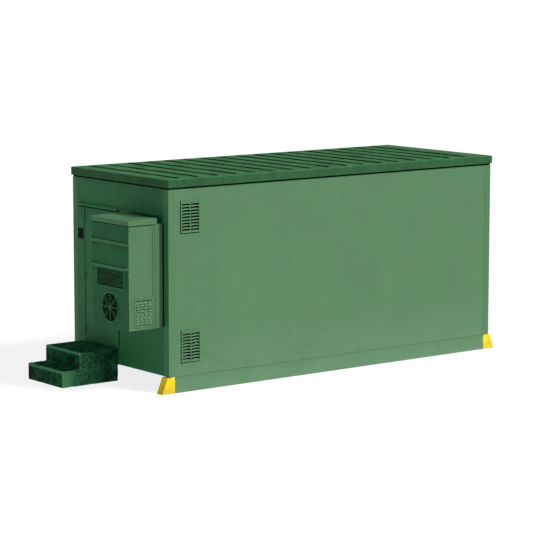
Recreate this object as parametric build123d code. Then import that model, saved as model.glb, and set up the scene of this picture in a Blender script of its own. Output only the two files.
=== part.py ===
"""Walk-in standby power shelter: skid-mounted steel enclosure, wall air conditioner and generator set.

Everything is laid out from one corner of the walls, in millimetres:
u runs along the shelter from the outer face of the door wall to the far wall,
v runs across it from the outer face of the vent wall to the rear wall, and z is up from the ground.
Each node is moved to the part's own origin, the centre of the bounding box's base, when it is written.
"""
import math
import os

from build123d import *

# ---------------------------------------------------------------- driving dimensions
LENGTH = 6096.0  # outside of the door wall to outside of the far wall, 20 ft
WIDTH = 2438.0  # outside of the vent wall to outside of the rear wall, 8 ft
RAIL_H = 245.0  # skid rails, and so the underside of the walls
WALL_TOP = 2890.0
SILL_TOP = 252.0  # top of the strip that covers the joint between walls and rails
FLOOR_TOP = 470.0
LID_BOTTOM = 2916.0
LID_TOP = 3031.0
LID_OVERHANG = 30.0
SKIN = 5.0  # outer wall sheet
WALL = 75.0  # sheet and liner together
FOOT_REACH = 120.0  # toe of a corner foot beyond the wall
STEP_REACH = 965.0  # front of the entry block beyond the door wall
STEP_GAP = 5.0

DOOR_V0, DOOR_V1 = 1260.0, 2114.0
DOOR_Z0, DOOR_Z1 = 485.0, 2465.0
DOOR_OUT, DOOR_IN = -12.0, 45.0  # outer and inner face of the leaf
FRAME_V, FRAME_Z = (1225.0, 2149.0), (FLOOR_TOP, 2500.0)  # outside of the door frame
HINGE_U, HINGE_V = -22.0, 2124.0
HINGE_HEIGHTS = (661.0, 1463.0, 2289.0)
HINGE_LENGTH = 126.0
KNUCKLE_R, PIN_R, RUNNING = 11.0, 6.0, 0.05
LEVER_V, LEVER_Z = 1330.0, 1460.0
SPINDLE_R = 8.0
GAP = 0.3  # clearance kept between faces of pieces that move past each other

AC_V0, AC_V1 = 125.0, 1055.0
AC_Z0, AC_Z1 = 937.0, 2410.0
AC_FRONT, AC_BACK = -587.0, -120.0
AC_SHEET = 4.0
AC_FAN_V, AC_FAN_Z, AC_FAN_R = 592.0, 1225.0, 200.0
GRILLE_V, GRILLE_Z = (199.0, 955.0), (1492.0, 1785.0)
SUPPLY_Z, RETURN_Z, DUCT_V = (2075.0, 2335.0), (1300.0, 1620.0), (250.0, 930.0)
DOOR_WALL_HOLES = [(FRAME_V, FRAME_Z), (DUCT_V, RETURN_Z), (DUCT_V, SUPPLY_Z)]

VENT_U = (208.0, 540.0)
VENT_HEIGHTS = {"upper_vent": (2268.0, 2718.0), "lower_vent": (430.0, 880.0)}

INTAKE_U, INTAKE_Z = (3000.0, 4300.0), (700.0, 1600.0)
DISCHARGE_V, DISCHARGE_Z = (619.0, 1819.0), (800.0, 2000.0)
CABLE_U, CABLE_Z, CABLE_R = (1500.0, 1700.0), 700.0, 52.0
EXHAUST_Z, EXHAUST_R, OUTLET_R = 2600.0, 50.0, 57.0
PARTITION_U = (2300.0, 2350.0)
PARTITION_DOOR_V = (1350.0, 2150.0)
PARTITION_DOOR_TOP = 2450.0

CENTRE_V = WIDTH / 2
CRANK_Z, FAN_SHAFT_Z = 1200.0, 1560.0
CRANK_R, FAN_SHAFT_R = 40.0, 25.0
CRANK_PULLEY_R, FAN_PULLEY_R = 120.0, 80.0
PULLEY_U = (4830.0, 4880.0)
MOUNT_Z = (840.0, 900.0)  # rubber mounts, between the base tank and the feet
ALTERNATOR_FEET, ENGINE_FEET = (3080.0, 3600.0), (3980.0, 4600.0)

ORIGIN_U = (LENGTH + FOOT_REACH - STEP_REACH) / 2
TO_ORIGIN = Location((-ORIGIN_U, -WIDTH / 2, 0))


# ---------------------------------------------------------------- shapes
def block(u, v, z):
    """A block between two planes on each axis."""
    centre = [(low + high) / 2 for low, high in (u, v, z)]
    return Pos(*centre) * Box(u[1] - u[0], v[1] - v[0], z[1] - z[0])


def grown(span, by):
    return (span[0] - by, span[1] + by)


def rod(axis, span, a, b, radius):
    """A cylinder along u, v or z. a and b are the other two coordinates, in u, v, z order."""
    middle, length = (span[0] + span[1]) / 2, span[1] - span[0]
    if axis == "u":
        return Pos(middle, a, b) * Rot(0, 90, 0) * Cylinder(radius, length)
    if axis == "v":
        return Pos(a, middle, b) * Rot(90, 0, 0) * Cylinder(radius, length)
    return Pos(a, b, middle) * Cylinder(radius, length)


def tube(axis, span, a, b, outer, inner):
    return rod(axis, span, a, b, outer) - rod(axis, grown(span, 1), a, b, inner)


def prism_v(outline, v):
    """An outline in (u, z), run across the shelter."""
    face = make_face(Polyline(*[(u, v[0], z) for u, z in outline], close=True))
    return extrude(face, amount=v[1] - v[0], dir=(0, 1, 0))


def prism_u(outline, u):
    """An outline in (v, z), run along the shelter."""
    face = make_face(Polyline(*[(u[0], v, z) for v, z in outline], close=True))
    return extrude(face, amount=u[1] - u[0], dir=(1, 0, 0))


def prism_z(outline, z):
    """An outline in (u, v), run upwards."""
    face = make_face(Polyline(*[(u, v, z[0]) for u, v in outline], close=True))
    return extrude(face, amount=z[1] - z[0], dir=(0, 0, 1))


def ring(u, v, z, border, axis):
    """A rectangular frame whose opening runs along the axis."""
    spans = {"u": u, "v": v, "z": z}
    hole = [grown(s, 1) if name == axis else grown(s, -border) for name, s in spans.items()]
    return block(u, v, z) - block(*hole)


def panelled(u, v, z, holes):
    """A plate across u as flat panels side by side, which leave rectangular holes: (v span, z span)."""
    edges = sorted({*v, *[edge for hole_v, _ in holes for edge in hole_v]})
    panels = []
    for strip in zip(edges, edges[1:]):
        bottom = z[0]
        for hole_z in sorted(hz for hv, hz in holes if hv[0] <= strip[0] and strip[1] <= hv[1]):
            panels.append(block(u, strip, (bottom, hole_z[0])))
            bottom = hole_z[1]
        panels.append(block(u, strip, (bottom, z[1])))
    return panels


def tray(u, v, z, sheet):
    """Five sheets that make a box open towards -v."""
    deep = (v[0], v[1] - sheet)
    sides = [block(span, deep, z) for span in ((u[0], u[0] + sheet), (u[1] - sheet, u[1]))]
    ends = [block(grown(u, -sheet), deep, span) for span in ((z[0], z[0] + sheet), (z[1] - sheet, z[1]))]
    return sides + ends + [block(u, (v[1] - sheet, v[1]), z)]


def spread(span, count):
    """Evenly spaced places from one end of a span to the other."""
    return [span[0] + (span[1] - span[0]) * i / (count - 1) for i in range(count)]


# ---------------------------------------------------------------- skid, floor, walls and roof
def corner_foot(at_far_end, at_rear):
    inner, top, toe, lean, width = 100.0, 230.0, FOOT_REACH, 25.0, 135.0
    profile = [(-toe, 0), (inner, 0), (inner, top), (-lean, top)]
    v = (WIDTH - width, WIDTH) if at_rear else (0, width)
    foot = prism_v(profile, v)
    upper_inner = foot.edges().filter_by(Axis.Y).sort_by(Axis.Z)[-2:].sort_by(Axis.X)[-1]
    foot = fillet(upper_inner, 40)
    return foot.mirror(Plane.YZ.offset(LENGTH / 2)) if at_far_end else foot


def skid():
    foot_inner, flange, web = 100.0, 12.0, 8.0
    rail_u, rail_w = (foot_inner, LENGTH - foot_inner), 100.0
    rail = block(rail_u, (0, rail_w), (0, RAIL_H)) - block(
        grown(rail_u, 1), (web, rail_w + 1), (flange, RAIL_H - flange))
    rails = [rail, rail.mirror(Plane.XZ.offset(-WIDTH / 2))]
    feet = [corner_foot(far, rear) for far in (False, True) for rear in (False, True)]
    return {"skid_rails": rails, "corner_feet": feet}


def floor():
    plate_t, joist_w, web = 6.0, 75.0, 8.0
    joist_h = FLOOR_TOP - plate_t - RAIL_H
    inside_v, inside_u = (WALL, WIDTH - WALL), (WALL, LENGTH - WALL)
    joists = []
    for u in spread((WALL, LENGTH - WALL - joist_w), 10):
        beam = block((u, u + joist_w), inside_v, (RAIL_H, RAIL_H + joist_h))
        joists.append(beam - block((u + web, u + joist_w + 1), grown(inside_v, 1),
                                   (RAIL_H + web, RAIL_H + joist_h - web)))
    belly = block((0, LENGTH), (100, WIDTH - 100), (RAIL_H - 4, RAIL_H))
    plate = block(inside_u, inside_v, (RAIL_H + joist_h, FLOOR_TOP))
    return {"floor_frame": joists + [belly], "floor_plate": [plate]}


def wall_cutters():
    """The openings in each wall, long enough to go through sheet and liner."""
    through_door_wall, through_far_wall = (-10, WALL + 10), (LENGTH - WALL - 10, LENGTH + 10)
    through_vent_wall, through_rear_wall = (-10, WALL + 10), (WIDTH - WALL - 10, WIDTH + 10)
    door = [block(through_door_wall, v, z) for v, z in DOOR_WALL_HOLES]
    far = [block(through_far_wall, DISCHARGE_V, DISCHARGE_Z),
           rod("u", through_far_wall, CENTRE_V, EXHAUST_Z, EXHAUST_R + 20)]
    vents = [block(grown(VENT_U, -30), through_vent_wall, (max(z[0] + 25, FLOOR_TOP + 5), z[1] - 25))
             for z in VENT_HEIGHTS.values()]
    rear = [block(INTAKE_U, through_rear_wall, INTAKE_Z)]
    rear += [rod("v", through_rear_wall, u, CABLE_Z, CABLE_R) for u in CABLE_U]
    return {"door": door, "far": far, "vent": vents, "rear": rear}


def walls():
    height = (RAIL_H, WALL_TOP)
    between = (SKIN, LENGTH - SKIN)
    sheets = {
        "far": block((LENGTH - SKIN, LENGTH), (0, WIDTH), height),
        "vent": block(between, (0, SKIN), height),
        "rear": block(between, (WIDTH - SKIN, WIDTH), height),
    }
    inner_v, inner_u = (SKIN, WIDTH - SKIN), (WALL, LENGTH - WALL)
    liners = {
        "door": block((SKIN, WALL), inner_v, height),
        "far": block((LENGTH - WALL, LENGTH - SKIN), inner_v, height),
        "vent": block(inner_u, (SKIN, WALL), height),
        "rear": block(inner_u, (WIDTH - WALL, WIDTH - SKIN), height),
    }
    for side, cutters in wall_cutters().items():
        for cutter in cutters:
            liners[side] -= cutter
            if side in sheets:
                sheets[side] -= cutter
    return {
        "door_end_wall": panelled((0, SKIN), (0, WIDTH), height, DOOR_WALL_HOLES),
        "far_end_wall": [sheets["far"]],
        "vent_side_wall": [sheets["vent"]],
        "rear_side_wall": [sheets["rear"]],
        "wall_liners": list(liners.values()),
        "corner_trims": corner_trims(),
    }


def corner_trims():
    """Folded angle strips over the joint between two walls, and a sill strip along each long wall."""
    leg_u, leg_v, sheet, height = 110.0, 119.0, 3.0, (SILL_TOP, WALL_TOP)
    near = block((-sheet, leg_u), (-sheet, 0), height) + block((-sheet, 0), (-sheet, leg_v), height)
    rear = near.mirror(Plane.XZ.offset(-WIDTH / 2))
    far = [trim.mirror(Plane.YZ.offset(LENGTH / 2)) for trim in (near, rear)]
    sill_out, sill_bottom = 6.0, 236.0
    sill = prism_u([(0, SILL_TOP), (-sill_out, SILL_TOP - sill_out), (-sill_out, sill_bottom),
                    (0, sill_bottom)], (-sheet, LENGTH + sheet))
    return [near, rear] + far + [sill, sill.mirror(Plane.XZ.offset(-WIDTH / 2))]


def roof():
    corner_r, edge_r, sheet = 35.0, 8.0, 4.0
    lid_u, lid_v = grown((0, LENGTH), LID_OVERHANG), grown((0, WIDTH), LID_OVERHANG)
    lid = block(lid_u, lid_v, (LID_BOTTOM, LID_TOP))
    lid = fillet(lid.edges().filter_by(Axis.Z), corner_r)
    lid = fillet(lid.edges().group_by(Axis.Z)[-1], edge_r)
    core = block(grown(lid_u, -sheet), grown(lid_v, -sheet), (LID_BOTTOM, LID_TOP - sheet))
    core = fillet(core.edges().filter_by(Axis.Z), corner_r - sheet)
    core = fillet(core.edges().group_by(Axis.Z)[-1], edge_r - sheet)
    recess, gasket_w = 20.0, 50.0
    gasket = ring(grown((0, LENGTH), -recess), grown((0, WIDTH), -recess), (WALL_TOP, LID_BOTTOM),
                  gasket_w, "z")
    seams = []
    first, pitch, count, inset = 236.0, 338.0, 17, 95.0
    half_stem, half_cap, stem_h, cap_h = 10.0, 20.0, 7.0, 5.0
    for i in range(count):
        u, v = first + pitch * i, (inset, WIDTH - inset)
        stem = block(grown((u, u), half_stem), v, (LID_TOP, LID_TOP + stem_h))
        cap = block(grown((u, u), half_cap), v, (LID_TOP + stem_h, LID_TOP + stem_h + cap_h))
        seams.append(stem + cap)
    return {"roof_gasket": [gasket], "roof_lid": [lid - core], "roof_core": [core],
            "roof_seams": seams}


# ---------------------------------------------------------------- louvres
def bowed_hood(u, z0, face_v, height, bulge, sheet):
    """A pressed hood, bowed in plan, closed at the top and open below."""
    def segment(half, depth):
        arc = ThreePointArc((middle - half, face_v, z0), (middle, face_v - depth, z0),
                            (middle + half, face_v, z0))
        return make_face([arc, Line(arc @ 1, arc @ 0)])
    middle, half = (u[0] + u[1]) / 2, (u[1] - u[0]) / 2
    outer = extrude(segment(half, bulge), amount=height, dir=(0, 0, 1))
    inner = extrude(segment(half - sheet, bulge - sheet), amount=height - sheet, dir=(0, 0, 1))
    return outer - inner


def vents():
    columns, rows, plate, border = 2, 9, 6.0, 22.0
    slot_w, slot_h, pitch, bulge, sheet = 120.0, 27.0, 45.0, 17.0, 2.0
    nodes = {}
    for name, (z0, z1) in VENT_HEIGHTS.items():
        vent = block(VENT_U, (-plate, 0), (z0, z1))
        for column in range(columns):
            u0 = VENT_U[0] + border + column * (VENT_U[1] - VENT_U[0] - 2 * border - slot_w)
            for row in range(rows):
                low = z0 + border + 4 + row * pitch
                vent -= block((u0 + 4, u0 + slot_w - 4), (-plate - 1, 1), (low, low + slot_h - 4))
                vent += bowed_hood((u0, u0 + slot_w), low, -plate, slot_h, bulge, sheet)
        nodes[name] = [vent]
    return nodes


def blade_louvre(width, z, axis_out, face, count, reach):
    """A frame with sloped blades. width is the span along the wall, face the outer wall plane."""
    border, depth, blade = 40.0, 60.0, 4.0
    out = sorted((face - axis_out * depth, face + axis_out * reach))
    frame = ring((out[0], out[1]), width, z, border, "u")
    inner_z = grown(z, -border)
    pitch = (inner_z[1] - inner_z[0]) / count
    for i in range(count):
        low = inner_z[0] + pitch * (i + 0.08)
        outer_u, inner_u = face + axis_out * (reach - 4), face - axis_out * (depth - 10)
        outline = [(outer_u, low), (inner_u, low + pitch * 0.8), (inner_u, low + pitch * 0.8 + blade),
                   (outer_u, low + blade)]
        frame += prism_v(outline, grown(width, -border + 1))
    return frame


def wall_louvres():
    discharge = blade_louvre(grown(DISCHARGE_V, -2), grown(DISCHARGE_Z, -2), 1, LENGTH, 9, 20)
    duct_start, flange_u, sheet = 5312.0, (LENGTH - 64, LENGTH - 60), 4.0
    discharge += ring((duct_start, flange_u[1]), grown(DISCHARGE_V, -50), grown(DISCHARGE_Z, -50),
                      sheet, "u")
    discharge += ring(flange_u, grown(DISCHARGE_V, -2), grown(DISCHARGE_Z, -2), 48 + sheet, "u")
    intake = blade_louvre(grown(INTAKE_U, -2), grown(INTAKE_Z, -2), 1, WIDTH, 7, 20)
    intake = intake.mirror(Plane.XZ).rotate(Axis.Z, 90)
    return {"discharge_louvre": [discharge], "intake_louvre": [intake]}


# ---------------------------------------------------------------- entry door
def hinge_knuckles(z, moving):
    """The moving leaf has the middle knuckle, the fixed leaf the two outer ones."""
    third = HINGE_LENGTH / 3
    low = z - HINGE_LENGTH / 2
    if moving:
        spans = [(low + third + GAP, low + 2 * third - GAP)]
    else:
        spans = [(low, low + third), (low + 2 * third, low + HINGE_LENGTH)]
    whole = (low, low + HINGE_LENGTH)
    if moving:
        leaf = block((DOOR_OUT - 5, DOOR_OUT), (2060, 2112), whole)
    else:
        leaf = block((-5, 0), (2130, 2172), whole)
    for span in spans:
        if moving:
            leaf += block((HINGE_U - KNUCKLE_R, DOOR_OUT - 5), (2100, HINGE_V), span)
        else:
            leaf += block((HINGE_U, 0), (2128, 2135), span)
        leaf += rod("z", span, HINGE_U, HINGE_V, KNUCKLE_R)
    return leaf - rod("z", grown(whole, 1), HINGE_U, HINGE_V, PIN_R + RUNNING)


def door_frame():
    """Jambs, head and sill with a stop behind the leaf, a keep for the bolt, and the fixed hinge leaves."""
    clear_v, clear_z = grown((DOOR_V0, DOOR_V1), 3), grown((DOOR_Z0, DOOR_Z1), 3)
    stop_u, stop = 53.0, 17.0
    keep_u, keep_v, keep_z = 22.0, 1243.0, grown((LEVER_Z, LEVER_Z), 15)
    lock_jamb, *others = panelled((0, stop_u), FRAME_V, FRAME_Z, [(clear_v, clear_z)])
    jamb_v = (FRAME_V[0], clear_v[0])
    frame = others + [
        block((0, stop_u), jamb_v, (FRAME_Z[0], keep_z[0])),
        block((0, stop_u), jamb_v, (keep_z[1], FRAME_Z[1])),
        block((0, stop_u), (jamb_v[0], keep_v), keep_z),
        block((keep_u, stop_u), (keep_v, jamb_v[1]), keep_z),
    ]
    frame += panelled((stop_u, WALL), FRAME_V, FRAME_Z, [(grown(clear_v, -stop), grown(clear_z, -stop))])
    return frame + [hinge_knuckles(z, moving=False) for z in HINGE_HEIGHTS]


def door_leaf():
    edge, sheet = 12.0, 4.0
    leaf = block((DOOR_OUT, DOOR_IN), (DOOR_V0, DOOR_V1), (DOOR_Z0, DOOR_Z1))
    pocket = ((DOOR_OUT + sheet, DOOR_IN + 1), (DOOR_V0 + edge, DOOR_V1 - edge),
              (DOOR_Z0 + edge, DOOR_Z1 - edge))
    leaf -= block(*pocket)
    leaf -= block((5.5, 18.5), (DOOR_V0 - 1, DOOR_V0 + edge + 1), grown((LEVER_Z, LEVER_Z), 10.5))
    leaf -= rod("u", (DOOR_OUT - 1, DOOR_OUT + sheet + 1), LEVER_V, LEVER_Z, SPINDLE_R + RUNNING)
    for z in HINGE_HEIGHTS:
        leaf += hinge_knuckles(z, moving=True)
    liner = block((DOOR_OUT + sheet, DOOR_IN - 2), pocket[1], pocket[2])
    liner -= block((0, 25), (DOOR_V0, LEVER_V + 30), grown((LEVER_Z, LEVER_Z), 20))
    liner -= rod("u", (DOOR_OUT, DOOR_IN), LEVER_V, LEVER_Z, SPINDLE_R + RUNNING)
    return leaf, liner


def lever_set():
    """One spindle through the leaf, with a rose and a lever on each side."""
    reach, half_height, hub_r, rose_r, rose_t, stand_off, thick = 125.0, 9.0, 14.0, 26.0, 8.0, 36.0, 16.0
    outer_end, inner_end = DOOR_OUT - stand_off - thick, DOOR_IN + stand_off + thick
    spindle = rod("u", (outer_end, inner_end), LEVER_V, LEVER_Z, SPINDLE_R)
    levers = [spindle]
    for face, side in ((DOOR_OUT, -1), (DOOR_IN, 1)):
        lever_u = sorted((face + side * stand_off, face + side * (stand_off + thick)))
        arm = block(lever_u, (LEVER_V, LEVER_V + reach), grown((LEVER_Z, LEVER_Z), half_height))
        arm = fillet(arm.edges().filter_by(Axis.X).sort_by(Axis.Y)[-2:], half_height - 1)
        arm += rod("u", lever_u, LEVER_V, LEVER_Z, hub_r)
        rose = rod("u", sorted((face + side * GAP, face + side * rose_t)), LEVER_V, LEVER_Z, rose_r)
        levers += [arm - spindle, rose - spindle]
    return levers


def entry_door():
    leaf, liner = door_leaf()
    pins = []
    for z in HINGE_HEIGHTS:
        span = grown((z, z), HINGE_LENGTH / 2)
        pin = rod("z", (span[0], span[1] + 1), HINGE_U, HINGE_V, PIN_R)
        pins.append(pin + rod("z", (span[1] + GAP, span[1] + 7), HINGE_U, HINGE_V, PIN_R + 3))
    seal_v, seal_z = grown((DOOR_V0, DOOR_V1), -2), grown((DOOR_Z0, DOOR_Z1), -2)
    seal = ring((DOOR_IN + GAP, 53), seal_v, seal_z, 12, "u")
    bolt = block((6, 18), (1248, 1300), grown((LEVER_Z, LEVER_Z), 10))
    bolt -= prism_z([(5, 1247), (12, 1247), (5, 1258)], grown((LEVER_Z, LEVER_Z), 11))
    cap_out, cap_z = -45.0, (2472.0, 2541.0)
    cap = prism_v([(0, cap_z[1]), (cap_out + 6, cap_z[1] - 22), (cap_out, cap_z[1] - 28),
                   (cap_out, cap_z[0]), (cap_out + 4, cap_z[0]), (cap_out + 4, cap_z[1] - 30),
                   (0, cap_z[1] - 8)], (1230, 2240))
    plate = fillet(block((-4, 0), (2175, 2316), (1985, 2140)).edges().filter_by(Axis.X), 8)
    return {
        "door_frame": door_frame(), "door_leaf": [leaf], "door_liner": [liner], "hinge_pins": pins,
        "door_seal": [seal], "door_levers": lever_set(), "latch_bolt": [bolt],
        "drip_cap": [cap], "door_plate": [plate],
    }


def entry_steps():
    tread_1, tread_2, riser, across, arris = 238.0, 476.0, -663.0, (1280.0, 2200.0), 5.0
    outline = [(-STEP_REACH, 0), (-STEP_GAP, 0), (-STEP_GAP, tread_2), (riser, tread_2),
               (riser, tread_1), (-STEP_REACH, tread_1)]
    steps = prism_v(outline, across)
    return {"entry_steps": [chamfer(steps.edges().group_by(Axis.Z)[-1], arris)]}


# ---------------------------------------------------------------- air conditioner
def side_louvre(v, outwards):
    """A raised panel on one side of the cabinet, and the cutters for its rows of pressed slots."""
    panel_u, panel_z, raised, rows, columns = (-499.0, -185.0), (975.0, 1405.0), 4.0, 9, 3
    slot_w, slot_h, pitch_u, pitch_z, margin_u, margin_z = 78.0, 14.0, 92.0, 42.0, 26.0, 30.0
    panel = block(panel_u, sorted((v, v + outwards * raised)), panel_z)
    slots = []
    for row in range(rows):
        for column in range(columns):
            u0 = panel_u[0] + margin_u + pitch_u * column
            z0 = panel_z[0] + margin_z + pitch_z * row
            slots.append(block((u0, u0 + slot_w), grown((v, v), 2 * raised), (z0, z0 + slot_h)))
    return panel, slots


def ac_shell():
    cabinet = block((AC_FRONT + AC_SHEET, AC_BACK), (AC_V0, AC_V1), (AC_Z0, AC_Z1))
    cabinet -= block((AC_FRONT - 1, AC_BACK - AC_SHEET), grown((AC_V0, AC_V1), -AC_SHEET),
                     (AC_Z0 + AC_SHEET, AC_Z1 + 1))
    for z in (SUPPLY_Z, RETURN_Z):
        cabinet -= block((AC_BACK - 10, AC_BACK + 10), DUCT_V, z)
    for v, outwards in ((AC_V0, -1), (AC_V1, 1)):
        panel, slots = side_louvre(v, outwards)
        cabinet += panel
        for slot in slots:
            cabinet -= slot
    rise_front, rise_back, skirt, cover_back = 65.0, 80.0, 6.0, -110.0
    cover_u = (AC_FRONT - skirt, cover_back)
    cover = prism_v([(cover_u[0], AC_Z1), (cover_u[1], AC_Z1), (cover_u[1], AC_Z1 + rise_back),
                     (cover_u[0], AC_Z1 + rise_front)], grown((AC_V0, AC_V1), skirt))
    hollow = prism_v([(cover_u[0] + 3, AC_Z1 - 1), (cover_u[1] - 3, AC_Z1 - 1),
                      (cover_u[1] - 3, AC_Z1 + rise_back - 4), (cover_u[0] + 3, AC_Z1 + rise_front - 4)],
                     grown((AC_V0, AC_V1), skirt - 3))
    return cabinet, cover - hollow


def ac_front():
    """The front sheet with a sloped rain ledge above each of its two openings."""
    panel = block((AC_FRONT, AC_FRONT + AC_SHEET), (AC_V0, AC_V1), (AC_Z0, AC_Z1))
    for top, fold, nose, foot, reach in ((2190.0, 2168.0, 2140.0, 2125.0, 23.0),
                                         (1840.0, 1817.0, 1800.0, 1786.0, 25.0)):
        panel += prism_v([(AC_FRONT, top), (AC_FRONT - reach + 3, fold), (AC_FRONT - reach, nose),
                          (AC_FRONT - reach, foot), (AC_FRONT, foot)], (AC_V0, AC_V1))
    grille_lap_v, grille_lap_z, through = 40.0, 28.0, (AC_FRONT - 1, AC_FRONT + 2 * AC_SHEET)
    panel -= block(through, grown(GRILLE_V, -grille_lap_v), grown(GRILLE_Z, -grille_lap_z))
    return panel - rod("u", through, AC_FAN_V, AC_FAN_Z, AC_FAN_R)


def ac_grille():
    border_v, border_z, depth, wire = 42.0, 28.0, 10.0, 3.0
    u = (AC_FRONT - depth, AC_FRONT)
    grille = block(u, GRILLE_V, GRILLE_Z)
    grille -= block(grown(u, 1), grown(GRILLE_V, -border_v), grown(GRILLE_Z, -border_z))
    wire_u = (AC_FRONT - 5, AC_FRONT - 5 + wire)
    for v in spread(grown(GRILLE_V, -border_v - 40), 12):
        grille += block(wire_u, (v, v + wire), grown(GRILLE_Z, -border_z + 2))
    for z in spread(grown(GRILLE_Z, -border_z - 35), 5):
        grille += block(wire_u, grown(GRILLE_V, -border_v + 2), (z, z + wire))
    return grille


def ac_fan_guard():
    spokes, depth = 8, 9.0
    u = (AC_FRONT - depth, AC_FRONT)
    flange = prism_u([(AC_FAN_V + (AC_FAN_R + 38) * math.cos(math.radians(22.5 + 45 * i)),
                       AC_FAN_Z + (AC_FAN_R + 38) * math.sin(math.radians(22.5 + 45 * i)))
                      for i in range(8)], (AC_FRONT - 3, AC_FRONT))
    guard = flange - rod("u", grown(u, 5), AC_FAN_V, AC_FAN_Z, AC_FAN_R)
    guard += tube("u", u, AC_FAN_V, AC_FAN_Z, AC_FAN_R + 10, AC_FAN_R)
    guard += rod("u", u, AC_FAN_V, AC_FAN_Z, 26)
    spoke = block((AC_FRONT - 7, AC_FRONT - 2), (-5, 5), (20, AC_FAN_R + 2))
    for i in range(spokes):
        turned = spoke.rotate(Axis.X, 360 / spokes * i)
        guard += turned.moved(Location((0, AC_FAN_V, AC_FAN_Z)))
    return guard


def axial_fan(u, v, z, hub_r, tip_r, blades, pitch_deg, bore_r):
    """Hub and twisted flat blades, turning about u."""
    fan = rod("u", u, v, z, hub_r)
    middle, depth = (u[0] + u[1]) / 2, u[1] - u[0]
    chord = 1.1 * math.pi * (hub_r + tip_r) / 2 / blades
    blade = Pos(0, 0, (hub_r + tip_r) / 2 - 3) * Rot(0, 0, pitch_deg) * Box(4, chord, tip_r - hub_r + 6)
    blade &= Box(depth, 4 * tip_r, 4 * tip_r)
    for i in range(blades):
        fan += blade.rotate(Axis.X, 360 / blades * i).moved(Location((middle, v, z)))
    fan &= rod("u", u, v, z, tip_r)
    return fan - rod("u", grown(u, 1), v, z, bore_r)


def air_conditioner():
    cabinet, cover = ac_shell()
    shaft_r, fan_u, motor_u = 8.0, (-565.0, -490.0), (-470.0, -330.0)
    fan = axial_fan(fan_u, AC_FAN_V, AC_FAN_Z, 45, 188, 5, 62, shaft_r + RUNNING)
    motor = rod("u", motor_u, AC_FAN_V, AC_FAN_Z, 60)
    motor += rod("u", (fan_u[0] - 5, motor_u[0]), AC_FAN_V, AC_FAN_Z, shaft_r)
    motor += block((-430, -370), grown((AC_FAN_V, AC_FAN_V), 20), (AC_Z0 + AC_SHEET, AC_FAN_Z - 40))
    comp_u, comp_v, comp_r = -240.0, 820.0, 92.0
    compressor = rod("z", (AC_Z0 + AC_SHEET + 20, 1220), comp_u, comp_v, comp_r)
    compressor = fillet(compressor.edges().group_by(Axis.Z)[-1], 40)
    compressor += block(grown((comp_u, comp_u), 85), grown((comp_v, comp_v), 85),
                        (AC_Z0 + AC_SHEET, AC_Z0 + AC_SHEET + 20))
    coil = block((-572, -532), (210, 945), (1450, 1830))
    for z in spread((1480, 1800), 5):
        coil += tube_bend(z)
    frame_v, frame_z = grown((AC_V0, AC_V1), -3), grown((AC_Z0, AC_Z1), -4)
    back_u, rim, sleeve_start, sleeve_fit, sleeve_t = -8.0, 6.0, -114.0, -0.5, 4.0
    sleeve_v = grown(DUCT_V, sleeve_fit)
    sleeves_z = [grown(z, sleeve_fit) for z in (RETURN_Z, SUPPLY_Z)]
    mount = panelled((back_u, 0), frame_v, frame_z, [(sleeve_v, z) for z in sleeves_z])
    mount += panelled((AC_BACK, back_u), frame_v, frame_z, [(grown(frame_v, -rim), grown(frame_z, -rim))])
    for z in sleeves_z:
        hole = (grown(sleeve_v, -sleeve_t), grown(z, -sleeve_t))
        mount += panelled((sleeve_start, WALL), sleeve_v, z, [hole])
    flashing = prism_v([(0, 2541), (-40, 2527), (-40, 2520), (-36, 2520), (-36, 2524), (0, 2536)],
                       (140, 1220))
    return {
        "ac_cabinet": [cabinet], "ac_top_cover": [cover], "ac_front_panel": [ac_front()],
        "ac_grille": [ac_grille()], "ac_fan_guard": [ac_fan_guard()], "ac_fan": [fan],
        "ac_fan_motor": [motor], "ac_compressor": [compressor], "ac_condenser_coil": [coil],
        "ac_mount_frame": mount, "ac_flashing": [flashing],
    }


def tube_bend(z):
    """One pair of tube ends on the side of the condenser coil."""
    return rod("v", (195, 212), -562, z, 5) + rod("v", (195, 212), -542, z, 5) + block(
        (-562, -542), (190, 200), (z - 5, z + 5))


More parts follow.
